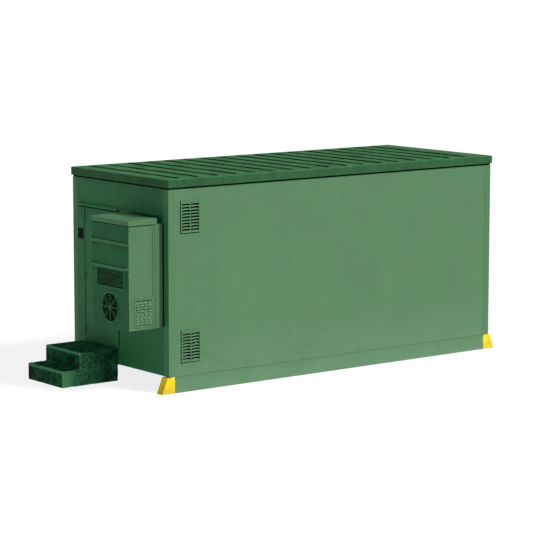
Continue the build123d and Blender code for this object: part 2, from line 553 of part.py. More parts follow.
# ---------------------------------------------------------------- equipment room
def partition():
    wall = block(PARTITION_U, (WALL, WIDTH - WALL), (FLOOR_TOP, LID_BOTTOM))
    wall -= block(grown(PARTITION_U, 1), PARTITION_DOOR_V, (FLOOR_TOP - 1, PARTITION_DOOR_TOP))
    leaf_t, sheet, edge, side_gap, floor_gap, proud = 40.0, 3.0, 30.0, 4.0, 8.0, 2.0
    leaf_u = (PARTITION_U[0] - proud, PARTITION_U[0] - proud + leaf_t)
    leaf_v = grown(PARTITION_DOOR_V, -side_gap)
    leaf_z = (FLOOR_TOP + floor_gap, PARTITION_DOOR_TOP - side_gap)
    leaf = block(leaf_u, leaf_v, leaf_z) - block(
        (leaf_u[0] + sheet, leaf_u[1] + 1), grown(leaf_v, -edge), grown(leaf_z, -edge))
    hinge_u, hinge_v = PARTITION_U[0] - 10, PARTITION_DOOR_V[1] + side_gap
    pin_r, knuckle_r, knuckle_h, lug_h, head = 5.0, 9.0, 60.0, 40.0, 6.0
    strap = (hinge_u - 2, leaf_u[0] + 1)
    for z in (800.0, 2150.0):
        leaf += tube("z", (z, z + knuckle_h), hinge_u, hinge_v, knuckle_r, pin_r + RUNNING)
        leaf += block(strap, (leaf_v[1] - 40, hinge_v - pin_r - 1), (z, z + knuckle_h))
        wall += rod("z", (z - lug_h, z + knuckle_h + head), hinge_u, hinge_v, pin_r)
        wall += rod("z", (z - lug_h, z - 1), hinge_u, hinge_v, knuckle_r)
        wall += block((strap[0], PARTITION_U[0]), (hinge_v, hinge_v + 40), (z - lug_h, z - 1))
    pull_v, pull_z, pull_reach, bar_t = (1400.0, 1415.0), (1400.0, 1560.0), 45.0, 12.0
    leaf += block((leaf_u[0] - pull_reach, leaf_u[0] + 1), pull_v, pull_z)
    leaf -= block((leaf_u[0] - pull_reach + bar_t, leaf_u[0] - 1), grown(pull_v, 10),
                  grown(pull_z, -bar_t - 3))
    return {"partition_wall": [wall], "partition_door": [leaf]}


def switchgear():
    sheet, plinth, door_depth, turned_edge = 3.0, 100.0, 22.0, 12.0
    u, z = (450.0, 1250.0), (FLOOR_TOP + plinth, 2370.0)
    front, back = 2063.0, WIDTH - WALL
    plate_v = (back - 60, back - 50)
    cabinet = tray(u, (front, back), z, sheet)
    cabinet.append(block(grown(u, -sheet), plate_v, grown(z, -60)))
    cabinet.append(block(grown(u, -40), (front + 30, back), (FLOOR_TOP, z[0])))
    door_v, door_u = (front - door_depth, front - GAP), (u[0], u[1] - 1)
    door = block(door_u, door_v, z) - block(
        grown(door_u, -turned_edge), (door_v[0] + sheet, door_v[1] + 1), grown(z, -turned_edge))
    hinge_u, hinge_v = u[1] + 8, front - 10
    pin_r, knuckle_r, knuckle_h, lug_h, head = 4.0, 7.0, 60.0, 30.0, 4.0
    for low in (z[0] + 150, z[1] - 210):
        door += tube("z", (low, low + knuckle_h), hinge_u, hinge_v, knuckle_r, pin_r + RUNNING)
        door += block((hinge_u - 12, hinge_u - 5), grown((hinge_v, hinge_v), 4), (low, low + knuckle_h))
        lug = rod("z", (low - lug_h, low + knuckle_h + head), hinge_u, hinge_v, pin_r)
        lug += rod("z", (low - lug_h, low - 1), hinge_u, hinge_v, knuckle_r)
        lug += block((u[1], hinge_u + 4), (hinge_v, front + 30), (low - lug_h, low - 1))
        cabinet.append(lug)
    lock_r, lock_inset, lock_z = 22.0, 60.0, 1500.0
    door += rod("v", (door_v[0] - 12, door_v[0] + 1), u[0] + lock_inset, lock_z, lock_r)
    return {"distribution_cabinet": cabinet, "cabinet_door": [door],
            "breakers": breakers(u, plate_v[0])}


def breakers(u, plate):
    """Three rows of branch breakers and one main breaker, each a case with its toggle."""
    case_w, case_d, case_h, toggle_w, toggle_d = 72.0, 80.0, 150.0, 20.0, 18.0
    rows, columns, left, right = (900.0, 1250.0, 1600.0), 6, 120.0, 200.0
    cases = []
    for z in rows:
        for low in spread((u[0] + left, u[1] - right), columns):
            middle = low + case_w / 2
            case = block((low, low + case_w), (plate - case_d, plate), (z, z + case_h))
            toggle = block(grown((middle, middle), toggle_w / 2),
                           (plate - case_d - toggle_d, plate - case_d), (z + 60, z + 95))
            cases.append(case + toggle)
    middle, main_w, main_d, main_z = (u[0] + u[1]) / 2, 300.0, 120.0, (1900.0, 2200.0)
    main = block(grown((middle, middle), main_w / 2), (plate - main_d, plate), main_z)
    main += block(grown((middle, middle), toggle_w), (plate - main_d - 25, plate - main_d),
                  grown(main_z, -110))
    return cases + [main]


def battery_bank():
    u, v, shelves = (700.0, 1300.0), (95.0, 480.0), (FLOOR_TOP + 90, FLOOR_TOP + 560)
    post, top, shelf_t = 40.0, FLOOR_TOP + 1000, 20.0
    rack = ring(u, v, (top - post, top), post, "z")
    for post_u in (u[0], u[1] - post):
        for post_v in (v[0], v[1] - post):
            rack += block((post_u, post_u + post), (post_v, post_v + post), (FLOOR_TOP, top))
    for z in shelves:
        rack += block(u, v, (z, z + shelf_t))
    case_w, case_h, inset, per_shelf = 150.0, 220.0, 50.0, 3
    terminal_r, terminal_h, terminal_inset = 9.0, 18.0, 90.0
    batteries = []
    for z in shelves:
        lid = z + shelf_t + case_h
        for low in spread((u[0] + inset, u[1] - inset - case_w - 10), per_shelf):
            battery = block((low, low + case_w), grown(v, -inset), (z + shelf_t, lid))
            for terminal_v in grown(v, -terminal_inset):
                battery += rod("z", (lid, lid + terminal_h), low + case_w / 2, terminal_v, terminal_r)
            batteries.append(battery)
    return {"battery_rack": [rack], "batteries": batteries}


def lights():
    half_length, half_width, depth, edge_r, off_centre = 600.0, 60.0, 60.0, 20.0, -500.0
    lamps = []
    for u in (1250.0, 3300.0, 4900.0):
        v = CENTRE_V + off_centre
        body = block(grown((u, u), half_length), grown((v, v), half_width),
                     (LID_BOTTOM - depth, LID_BOTTOM))
        lamps.append(fillet(body.edges().filter_by(Axis.X).group_by(Axis.Z)[0], edge_r))
    return {"ceiling_lights": lamps}


# ---------------------------------------------------------------- generator set
def centred(half):
    """A span across the shelter, about the generator's centre line."""
    return (CENTRE_V - half, CENTRE_V + half)


def foot(u, side, inner, reach, z):
    """A mounting foot on one side of the engine or the alternator."""
    v = CENTRE_V + side * inner
    return block(u, sorted((v, v + side * reach)), z)


def engine():
    body_u, half, deck, sump = (3900.0, 4760.0), 230.0, 1560.0, (920.0, 1060.0)
    bell_start, bell_r, bell_sheet = 3820.0, 320.0, 35.0
    body = block(body_u, centred(half), (sump[1], deck))
    body += block(grown(body_u, -30), centred(half - 40), sump)
    body += rod("u", (bell_start, body_u[0]), CENTRE_V, CRANK_Z, bell_r)
    body += block((body_u[1], body_u[1] + 30), centred(150), (sump[1] + 20, deck + 140))
    for u in ENGINE_FEET:
        for side in (-1, 1):
            body += foot((u, u + 90), side, half - 5, 125, (MOUNT_Z[1], MOUNT_Z[1] + 230))
    body -= rod("u", (bell_start - 1, body_u[0]), CENTRE_V, CRANK_Z, bell_r - bell_sheet)
    body -= block(grown(body_u, -45), centred(half - 40), (sump[1] + 20, deck - 160))
    body -= rod("u", (bell_start - 20, body_u[1] + 40), CENTRE_V, CRANK_Z, CRANK_R + RUNNING)
    body -= rod("u", (body_u[1] - 60, body_u[1] + 40), CENTRE_V, FAN_SHAFT_Z, FAN_SHAFT_R + RUNNING)
    head_u, head_half, head_top, cover_top = (3920.0, 4740.0), 200.0, 1680.0, 1780.0
    head = block(head_u, centred(head_half), (deck, head_top))
    cover = block(grown(head_u, -30), centred(head_half - 60), (head_top, cover_top))
    head += fillet(cover.edges().filter_by(Axis.X).group_by(Axis.Z)[-1], 30)
    port_z, port_reach, manifold_reach = (deck + 30, head_top - 20), 290.0, 360.0
    for u in spread((3990, 4670), 6):
        head += block(grown((u, u), 35), (CENTRE_V + head_half, CENTRE_V + port_reach), port_z)
    head += block(grown(head_u, -40), (CENTRE_V + port_reach, CENTRE_V + manifold_reach), port_z)
    head -= rod("u", (body_u[1] - 60, body_u[1] + 40), CENTRE_V, FAN_SHAFT_Z, FAN_SHAFT_R + 5)
    canister_u, canister_v, canister_z, canister_r = (4050.0, 4500.0), CENTRE_V - 330, 1820.0, 120.0
    neck_v, neck_r = CENTRE_V - 260, 45.0
    cleaner = rod("u", canister_u, canister_v, canister_z, canister_r)
    cleaner += rod("z", (port_z[1] - 20, canister_z - 60), canister_u[0] + 50, neck_v, neck_r)
    cleaner += block((canister_u[0], canister_u[0] + 100), (neck_v, CENTRE_V - head_half),
                     (deck + 40, deck + 90))
    cleaner = fillet(cleaner.edges().filter_by(GeomType.CIRCLE).sort_by(Axis.X)[-1], 20)
    return {"engine_block": [body], "cylinder_head": [head], "air_cleaner": [cleaner]}


def alternator():
    u, outer_r, inner_r, end_t, box_top = (3000.0, 3820.0), 310.0, 250.0, 40.0, 1720.0
    inside = rod("u", (u[0] + end_t, u[1] + 1), CENTRE_V, CRANK_Z, inner_r)
    shell = rod("u", u, CENTRE_V, CRANK_Z, outer_r) + block((3150, 3650), centred(200), (1490, box_top))
    shell -= rod("u", (u[0] - 10, u[0] + end_t + 10), CENTRE_V, CRANK_Z, CRANK_R + RUNNING)
    shell -= inside
    for foot_u in ALTERNATOR_FEET:
        for side in (-1, 1):
            shell += foot((foot_u, foot_u + 120), side, inner_r - 10, 110,
                          (MOUNT_Z[1], MOUNT_Z[1] + 180))
    return shell


def flat_pulley(u, z, radius):
    """A belt pulley with a flange each side of its flat rim."""
    flange_t, flange_h = 4.0, 14.0
    pulley = rod("u", u, CENTRE_V, z, radius)
    for flange in ((u[0] - flange_t, u[0]), (u[1], u[1] + flange_t)):
        pulley += rod("u", flange, CENTRE_V, z, radius + flange_h)
    return pulley


def rotating_parts():
    rotor_u, rotor_r, flywheel_u, flywheel_r = (3180.0, 3640.0), 200.0, (3780.0, 3880.0), 250.0
    crank = rod("u", (3010, PULLEY_U[1] + 10), CENTRE_V, CRANK_Z, CRANK_R)
    crank += rod("u", rotor_u, CENTRE_V, CRANK_Z, rotor_r)
    crank += rod("u", flywheel_u, CENTRE_V, CRANK_Z, flywheel_r)
    crank += flat_pulley(PULLEY_U, CRANK_Z, CRANK_PULLEY_R)
    fan_u, hub_r, tip_r, blades, pitch_deg = (4950.0, 5040.0), 90.0, 330.0, 8, 60
    shaft = rod("u", (4720, 4990), CENTRE_V, FAN_SHAFT_Z, FAN_SHAFT_R)
    shaft += flat_pulley(PULLEY_U, FAN_SHAFT_Z, FAN_PULLEY_R)
    fan = axial_fan(fan_u, CENTRE_V, FAN_SHAFT_Z, hub_r, tip_r, blades, pitch_deg, FAN_SHAFT_R - 5)
    return crank, shaft + fan + rod("u", fan_u, CENTRE_V, FAN_SHAFT_Z, FAN_SHAFT_R + 5)


def drive_belt():
    """Belt round both pulleys: the outline of two circles and their common tangents."""
    belt_u, belt_t = grown(PULLEY_U, -1), 12.0

    def outline(extra):
        low, high = CRANK_PULLEY_R + extra, FAN_PULLEY_R + extra
        lean = math.asin((low - high) / (FAN_SHAFT_Z - CRANK_Z))
        circles = ((low, CRANK_Z), (high, FAN_SHAFT_Z))
        side = [(math.cos(lean) * r, z + math.sin(lean) * r) for r, z in circles]
        points = [(CENTRE_V + y, z) for y, z in side] + [(CENTRE_V - y, z) for y, z in reversed(side)]
        hull = prism_u(points, belt_u)
        for r, z in circles:
            hull += rod("u", belt_u, CENTRE_V, z, r)
        return hull

    return outline(belt_t) - outline(GAP)


def cooling():
    core_u, half, z, tank_h, tank_lap = (5170.0, 5290.0), 440.0, (900.0, 2000.0), 110.0, 20.0
    radiator = block(core_u, centred(half), z)
    for low, high in ((z[0], z[0] + tank_h), (z[1] - tank_h, z[1])):
        radiator += block(grown(core_u, tank_lap), centred(half + tank_lap), (low, high))
    shroud_u, shroud_z, sheet, face_t, mouth_r = (5060.0, 5150.0), (1020.0, 1900.0), 6.0, 10.0, 400.0
    face_u, mouth_z = (shroud_u[0] - face_t, shroud_u[0]), FAN_SHAFT_Z - 60
    shroud = ring(shroud_u, centred(half), shroud_z, sheet, "u")
    shroud += block(face_u, centred(half), shroud_z)
    shroud -= rod("u", grown(face_u, face_t), CENTRE_V, mouth_z, mouth_r)
    shroud += block((shroud_u[1], core_u[0]), centred(half), (shroud_z[0] - 10, shroud_z[0] + 10))
    return [radiator, shroud]


def base_and_mounts():
    u, half, bottom, sheet, corner_r = (2850.0, 5350.0), 500.0, FLOOR_TOP + 40, 8.0, 40.0
    top = MOUNT_Z[0]
    tank = block(u, centred(half), (bottom, top))
    tank = fillet(tank.edges().filter_by(Axis.Z), corner_r)
    tank -= block(grown(u, -sheet), centred(half - sheet), (bottom + sheet, top - sheet))
    filler_u, filler_v, filler_r, filler_top = u[0] + 100, CENTRE_V - 430, 30.0, top + 60
    tank -= rod("z", grown((top, top), 10), filler_u, filler_v, filler_r)
    tank += tube("z", (top, filler_top), filler_u, filler_v, filler_r + 6, filler_r)
    for runner in (2900.0, 5150.0):
        tank += block((runner, runner + 150), centred(half), (FLOOR_TOP, bottom))
    tank += block((5150, 5310), centred(440), MOUNT_Z)
    mount_r = 35.0
    places = [(foot_u + 60, 295) for foot_u in ALTERNATOR_FEET]
    places += [(foot_u + 45, 290) for foot_u in ENGINE_FEET]
    mounts = [rod("z", MOUNT_Z, foot_u, CENTRE_V + side * reach, mount_r)
              for foot_u, reach in places for side in (-1, 1)]
    return {"base_tank": [tank], "vibration_mounts": mounts}


def exhaust():
    """Silencer hung under the roof, with its riser from the manifold and its tailpipe through the wall."""
    body_u, body_r, sheet, end_r = (4300.0, 5500.0), 170.0, 6.0, 30.0
    pipe_sheet, wall_end, pipe_end = 4.0, LENGTH + 10, LENGTH + 110
    body = rod("u", body_u, CENTRE_V, EXHAUST_Z, body_r)
    body = fillet(body.edges().filter_by(GeomType.CIRCLE), end_r)
    body += rod("u", (body_u[1] - 10, wall_end), CENTRE_V, EXHAUST_Z, EXHAUST_R)
    body += rod("u", (wall_end, pipe_end), CENTRE_V, EXHAUST_Z, OUTLET_R)
    riser_u, riser_v, riser_r, riser_z = 4420.0, CENTRE_V + 325, 45.0, (1700.0, EXHAUST_Z - 120)
    body += rod("z", riser_z, riser_u, riser_v, riser_r)
    body += rod("v", (CENTRE_V + 100, riser_v + riser_r), riser_u, EXHAUST_Z - 100, riser_r)
    body += rod("z", (riser_z[0] - 40, riser_z[0]), riser_u, riser_v, riser_r + 15)
    for u in (4500.0, 5300.0):
        body += block((u, u + 40), centred(20), (EXHAUST_Z + body_r - 10, LID_BOTTOM))
    body -= rod("u", grown(body_u, -sheet), CENTRE_V, EXHAUST_Z, body_r - sheet)
    return body - rod("u", (body_u[1] - 20, pipe_end + 10), CENTRE_V, EXHAUST_Z, EXHAUST_R - pipe_sheet)


def controller():
    u, v, z, corner_r = (3150.0, 3450.0), (CENTRE_V - 460, CENTRE_V - 330), (1500.0, 1850.0), 15.0
    face, bezel = v[0], 6.0
    case = block(u, v, z)
    case = fillet(case.edges().filter_by(Axis.Y), corner_r)
    case += block(grown(u, -30), (v[1] - 1, CENTRE_V - 200), (z[0] + 30, z[0] + 60))
    case += block((u[0] + 30, u[0] + 180), (face - bezel, face), (z[0] + 180, z[0] + 300))
    lamps, lamp_r, lamp_pitch = 4, 12.0, 40.0
    for i in range(lamps):
        case += rod("v", (face - bezel, face), u[0] + 50 + lamp_pitch * i, z[0] + 130, lamp_r)
    stop_u, stop_z, stem_r, collar_r, head_r = u[1] - 55, z[0] + 240, 11.0, 24.0, 20.0
    case -= rod("v", (face - 1, face + 30), stop_u, stop_z, stem_r + RUNNING)
    case += tube("v", (face - 5, face), stop_u, stop_z, collar_r, stem_r + RUNNING)
    button = rod("v", (face - 14, face + 15), stop_u, stop_z, stem_r)
    button += rod("v", (face - 32, face - 14), stop_u, stop_z, head_r)
    return {"generator_controller": [case], "stop_button": [button]}


def generator_set():
    crank, fan = rotating_parts()
    return {
        **engine(), **base_and_mounts(), **controller(), "alternator": [alternator()],
        "crank_train": [crank], "cooling_fan": [fan], "drive_belt": [drive_belt()],
        "radiator": cooling(), "exhaust_silencer": [exhaust()],
    }


# ---------------------------------------------------------------- writing
def write(nodes):
    os.makedirs("parts", exist_ok=True)
    for name, shapes in nodes.items():
        solids = [solid.moved(TO_ORIGIN) for shape in shapes for solid in shape.solids()]
        export_step(Compound(children=solids) if len(solids) > 1 else solids[0], f"parts/{name}.step")


if __name__ == "__main__":
    write({
        **skid(), **floor(), **walls(), **roof(), **vents(), **wall_louvres(), **entry_door(),
        **entry_steps(), **air_conditioner(), **partition(), **switchgear(), **battery_bank(),
        **lights(), **generator_set(),
    })
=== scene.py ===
"""Looks for the walk-in standby power shelter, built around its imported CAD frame. Metres, +Z up."""
import math
import random

import bmesh
import bpy
from mathutils import Matrix, Vector, noise


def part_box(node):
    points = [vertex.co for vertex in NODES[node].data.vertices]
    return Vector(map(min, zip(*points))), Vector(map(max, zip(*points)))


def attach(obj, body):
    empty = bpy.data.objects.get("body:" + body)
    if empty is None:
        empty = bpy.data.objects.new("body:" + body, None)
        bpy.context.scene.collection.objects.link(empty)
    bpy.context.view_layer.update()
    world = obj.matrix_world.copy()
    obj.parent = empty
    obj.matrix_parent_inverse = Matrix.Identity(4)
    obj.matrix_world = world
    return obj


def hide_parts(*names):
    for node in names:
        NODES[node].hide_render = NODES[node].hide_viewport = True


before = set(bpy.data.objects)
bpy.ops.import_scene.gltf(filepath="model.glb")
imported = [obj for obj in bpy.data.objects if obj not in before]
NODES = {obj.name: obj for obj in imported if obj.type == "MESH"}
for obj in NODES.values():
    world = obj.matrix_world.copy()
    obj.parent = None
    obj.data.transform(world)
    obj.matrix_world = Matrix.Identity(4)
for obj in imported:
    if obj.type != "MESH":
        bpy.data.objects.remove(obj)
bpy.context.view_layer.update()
random.seed(11)

# Paint colours, linear. The end walls, the door and the cooler's front get darker, more saturated copies of
# the wall green: painted shade for faces that the key light misses.
GREEN = (0.0655, 0.159, 0.0735)
END_SHADE_GREEN = (0.021, 0.128, 0.047)
DOOR_SHADE_GREEN = (0.021, 0.130, 0.048)
COOLER_FRONT_SHADE_GREEN = (0.0125, 0.098, 0.034)
ROOF_GREEN = (0.036, 0.124, 0.048)
YELLOW = (0.70, 0.50, 0.004)

CLOUD = (0.3, 0.7)  # most of a noise texture's values lie between these
MERGE = 0.00001     # points closer than this are one point


# ---------------------------------------------------------------- materials
class Graph:
    """A short way to write node links: each call adds a node and sets or links its inputs."""

    def __init__(self, name):
        self.material = bpy.data.materials.new(name)
        self.material.use_nodes = True
        self.tree = self.material.node_tree
        self.shader = self.tree.nodes["Principled BSDF"]
        place = self.tree.nodes.new("ShaderNodeTexCoord")
        self.place = place.outputs["Object"]

    def add(self, kind, settings=None, **inputs):
        node = self.tree.nodes.new(kind)
        for key, value in (settings or {}).items():
            setattr(node, key, value)
        for key, value in inputs.items():
            self.put(node.inputs[key.replace("_", " ")], value)
        return node

    def put(self, socket, value):
        if isinstance(value, bpy.types.NodeSocket):
            self.tree.links.new(value, socket)
        elif isinstance(value, tuple) and len(value) == 3 and socket.type == "RGBA":
            socket.default_value = (*value, 1)
        else:
            socket.default_value = value

    def noise(self, scale, stretch=(1, 1, 1), detail=3.0, rough=0.55):
        mapped = self.add("ShaderNodeMapping", Vector=self.place, Scale=stretch)
        return self.add("ShaderNodeTexNoise", Vector=mapped.outputs[0], Scale=scale, Detail=detail,
                        Roughness=rough).outputs["Fac"]

    def span(self, value, low, high, to_low=0.0, to_high=1.0):
        node = self.add("ShaderNodeMapRange", Value=value)
        for key, number in (("From Min", low), ("From Max", high), ("To Min", to_low), ("To Max", to_high)):
            node.inputs[key].default_value = number
        return node.outputs[0]

    def maths(self, operation, a, b=0.0):
        node = self.tree.nodes.new("ShaderNodeMath")
        node.operation = operation
        self.put(node.inputs[0], a)
        self.put(node.inputs[1], b)
        return node.outputs[0]

    def blend(self, factor, a, b, kind="MIX"):
        node = self.tree.nodes.new("ShaderNodeMix")
        node.data_type, node.blend_type = "RGBA", kind
        self.put(node.inputs[0], factor)
        self.put(node.inputs[6], a)
        self.put(node.inputs[7], b)
        return node.outputs[2]

    def along(self, axis, vector=None):
        """One coordinate of a vector, or of the place on the surface."""
        source = self.place if vector is None else vector
        return self.add("ShaderNodeSeparateXYZ", Vector=source).outputs[axis]

    def facing(self, which="Normal"):
        return self.add("ShaderNodeNewGeometry").outputs[which]

    def flatness(self, radius, samples, which="Normal"):
        """1 on a flat face, and less where an edge is nearer than the radius."""
        rounded = self.add("ShaderNodeBevel", {"samples": samples}, Radius=radius)
        dot = self.add("ShaderNodeVectorMath", {"operation": "DOT_PRODUCT"})
        self.put(dot.inputs[0], rounded.outputs[0])
        self.put(dot.inputs[1], self.facing(which))
        return dot.outputs["Value"]

    def bump(self, height, strength, distance, normal=None):
        node = self.add("ShaderNodeBump", Height=height, Strength=strength, Distance=distance)
        if normal is not None:
            self.put(node.inputs["Normal"], normal)
        return node.outputs[0]


def shade(colour, factor):
    return tuple(min(1.0, c * factor) for c in colour)


def finish(name, colour, rough=0.5, metal=0.0, mottle=0.10, mottle_scale=1.2, streak=0.0, speckle=0.0,
           speckle_scale=78.0, dust=0.0, dust_top=0.9, dust_colour=(0.16, 0.24, 0.17), grain=0.15,
           grain_scale=500.0, dent=0.0, edge_rub_and_highlight=0.0, edge_rub_and_highlight_colour=(0.22, 0.25, 0.22), gloss=0.22, coat=0.0,
           patchy=None, edge_width=0.006, end_face_shade=None, upright_shade=0.0):
    """One layered finish: fading, rain streaks, speckle, dust near the ground, worn edges, grain and dents.

    The lighter edges are worn paint on some finishes and a painted highlight on others. end_face_shade is
    painted shade on the faces that look along the shelter, upright_shade is painted shade on every upright
    face, and patchy is a second colour that shows through in large patches.
    """
    g = Graph(name)
    cloud = g.noise(mottle_scale, detail=4)
    tone = g.blend(g.span(cloud, *CLOUD), shade(colour, 1 - mottle), shade(colour, 1 + mottle))
    if streak:
        runs = g.span(g.noise(1.0, (9, 9, 0.35), 5), 0.45, 0.75, 0, streak)
        tone = g.blend(runs, tone, shade(colour, 0.55))
    if speckle:
        dots = g.span(g.noise(speckle_scale, detail=3), 0.55, 0.68, 0, speckle)
        tone = g.blend(dots, tone, shade(colour, 0.50))
        flecks = g.span(g.noise(speckle_scale * 1.3, (1.1, 1, 0.9), 3), 0.57, 0.70, 0, speckle * 0.7)
        tone = g.blend(flecks, tone, shade(colour, 1.40))
    if dust:
        patches = g.span(g.noise(3.0, (1, 1, 2), 5), 0.35, 0.7, 0.45, 1.0)
        low = g.span(g.along("Z"), 0.0, dust_top, dust, 0.0)
        tone = g.blend(g.maths("MULTIPLY", low, patches), tone, dust_colour)
    # lighter convex edges: worn paint on some finishes, a painted highlight on others
    if edge_rub_and_highlight:
        edges = g.span(g.flatness(edge_width, 4), 0.99, 0.80)
        chips = g.span(g.noise(45, detail=6), 0.46, 0.58)
        tone = g.blend(g.maths("MULTIPLY", g.maths("MULTIPLY", edges, chips), edge_rub_and_highlight), tone, edge_rub_and_highlight_colour)
    # painted shade on the faces that look along the shelter
    if end_face_shade:
        end_facing = g.maths("ABSOLUTE", g.along("X", g.facing()))
        tone = g.blend(g.span(end_facing, 0.4, 0.7), tone, end_face_shade, "MULTIPLY")
    # painted shade on every upright face, darker than the tops
    if upright_shade:
        tone = g.blend(g.span(g.along("Z", g.facing()), 0.6, 0.2, 0, upright_shade), tone, shade(colour, 0.30))
    if patchy:
        faded = g.span(g.noise(3.2, (1.5, 0.6, 1), 4), 0.42, 0.60)
        tone = g.blend(faded, tone, patchy)
    g.put(g.shader.inputs["Base Color"], tone)
    g.put(g.shader.inputs["Metallic"], metal)
    g.put(g.shader.inputs["Specular IOR Level"], gloss)
    g.put(g.shader.inputs["Coat Weight"], coat)
    if coat:
        g.put(g.shader.inputs["Coat Roughness"], 0.25)
    g.put(g.shader.inputs["Roughness"], g.span(g.noise(7, detail=5), *CLOUD, rough - 0.08, rough + 0.10))
    normal = None
    if dent:
        normal = g.bump(g.noise(1.6, (1, 1, 1.3), 1), dent, 0.02)
    normal = g.bump(g.noise(grain_scale, detail=2), grain, 0.0006, normal)
    g.put(g.shader.inputs["Normal"], normal)
    return g.material


def stone():
    """Rough cast block: near-black green with pits, pale flecks on the arrises, and a painted patch of
    sunlight on the front corner.
    """
    g = Graph("rough_stone")
    low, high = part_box("entry_steps")
    tread_depth, nosing = 0.302, 0.045
    coarse = g.noise(9, detail=8, rough=0.68)
    fine = g.noise(62, detail=6, rough=0.75)
    tone = g.blend(g.span(coarse, 0.40, 0.64), (0.0010, 0.0090, 0.0045), (0.007, 0.085, 0.038))
    tone = g.blend(g.span(fine, 0.54, 0.66, 0, 0.6), tone, (0.035, 0.190, 0.085))
    side = g.span(g.along("Y", g.facing()), -0.35, -0.75)
    place = g.along("X")
    ragged = g.maths("ADD", place, g.span(coarse, *CLOUD, -0.05, 0.05))
    flecks = g.span(fine, 0.47, 0.57)
    # partly painted light: pale flecks on the side spread where the sun falls near the front
    spread = g.maths("MULTIPLY", side, g.span(ragged, low.x + 0.72, low.x + 0.22, 0.0, 0.9))
    tone = g.blend(g.maths("MULTIPLY", spread, flecks), tone, (0.085, 0.330, 0.155))
    arris = g.span(g.flatness(0.030, 6, "True Normal"), 0.97, 0.85, 0, 0.85)
    arris = g.maths("MULTIPLY", arris, g.span(g.along("Z"), 0.10, 0.20))
    tone = g.blend(g.maths("MULTIPLY", arris, g.span(fine, 0.42, 0.56)), tone, (0.100, 0.380, 0.180))
    for nose, tread in ((low.x, high.z / 2), (low.x + tread_depth, high.z)):
        away = g.maths("ABSOLUTE", g.maths("SUBTRACT", place, nose))
        near = g.span(away, nosing, 0.008, 0, 0.8)
        worn = g.maths("MULTIPLY", near, g.span(g.along("Z"), tread - nosing, tread - 0.020))
        tone = g.blend(g.maths("MULTIPLY", worn, g.span(fine, 0.40, 0.54)), tone, (0.090, 0.330, 0.155))
    # painted light: the patch of sunlight on the near front corner of the side
    sunlit_patch = g.maths("MULTIPLY", side, g.span(ragged, low.x + 0.24, low.x + 0.10, 0.0, 0.85))
    tone = g.blend(sunlit_patch, tone, (0.095, 0.290, 0.120))
    g.put(g.shader.inputs["Base Color"], tone)
    g.put(g.shader.inputs["Roughness"], g.span(coarse, *CLOUD, 0.75, 0.95))
    g.put(g.shader.inputs["Specular IOR Level"], 0.05)
    rock = g.bump(coarse, 0.8, 0.02)
    g.put(g.shader.inputs["Normal"], g.bump(fine, 0.7, 0.005, rock))
    return g.material


def finned(name, colour, pitch):
    """A heat exchanger face: thin upright fins, painted as fine bright and dark lines of light and shade."""
    g = Graph(name)
    wave = g.maths("SINE", g.maths("MULTIPLY", g.along("Y"), 2 * math.pi / pitch))
    crushed = g.span(g.noise(22, detail=4), 0.42, 0.62)
    # painted light and shade: lit fins and the dark gaps between them
    tone = g.blend(g.span(wave, -1, 1), shade(colour, 0.25), colour)
    tone = g.blend(crushed, tone, shade(colour, 0.35))
    g.put(g.shader.inputs["Base Color"], tone)
    g.put(g.shader.inputs["Metallic"], 0.25)
    g.put(g.shader.inputs["Specular IOR Level"], 0.10)
    g.put(g.shader.inputs["Roughness"], g.span(g.noise(30), *CLOUD, 0.4, 0.6))
    g.put(g.shader.inputs["Normal"], g.bump(wave, 0.6, 0.002))
    return g.material


def chequer_plate():
    """Raised bars of a tread plate, two directions in turn."""
    g = Graph("chequer_plate")
    diagonal = g.add("ShaderNodeMapping", Vector=g.place, Rotation=(0, 0, math.radians(45)),
                     Scale=(22, 22, 1)).outputs[0]
    wave = g.add("ShaderNodeTexWave", {"wave_type": "BANDS"}, Vector=diagonal, Scale=0.6, Distortion=0)
    checks = g.add("ShaderNodeTexChecker", Vector=diagonal, Scale=1.0)
    bars = g.maths("MULTIPLY", g.span(wave.outputs["Fac"], 0.6, 0.8), checks.outputs["Fac"])
    worn = g.blend(bars, (0.10, 0.105, 0.11), (0.28, 0.28, 0.27))
    tone = g.blend(g.span(g.noise(2.5, detail=5), 0.4, 0.7, 0, 0.6), worn, (0.14, 0.12, 0.09))
    g.put(g.shader.inputs["Base Color"], tone)
    g.put(g.shader.inputs["Metallic"], 0.7)
    g.put(g.shader.inputs["Roughness"], g.span(g.noise(9), *CLOUD, 0.35, 0.6))
    g.put(g.shader.inputs["Normal"], g.bump(bars, 0.8, 0.003))
    return g.material


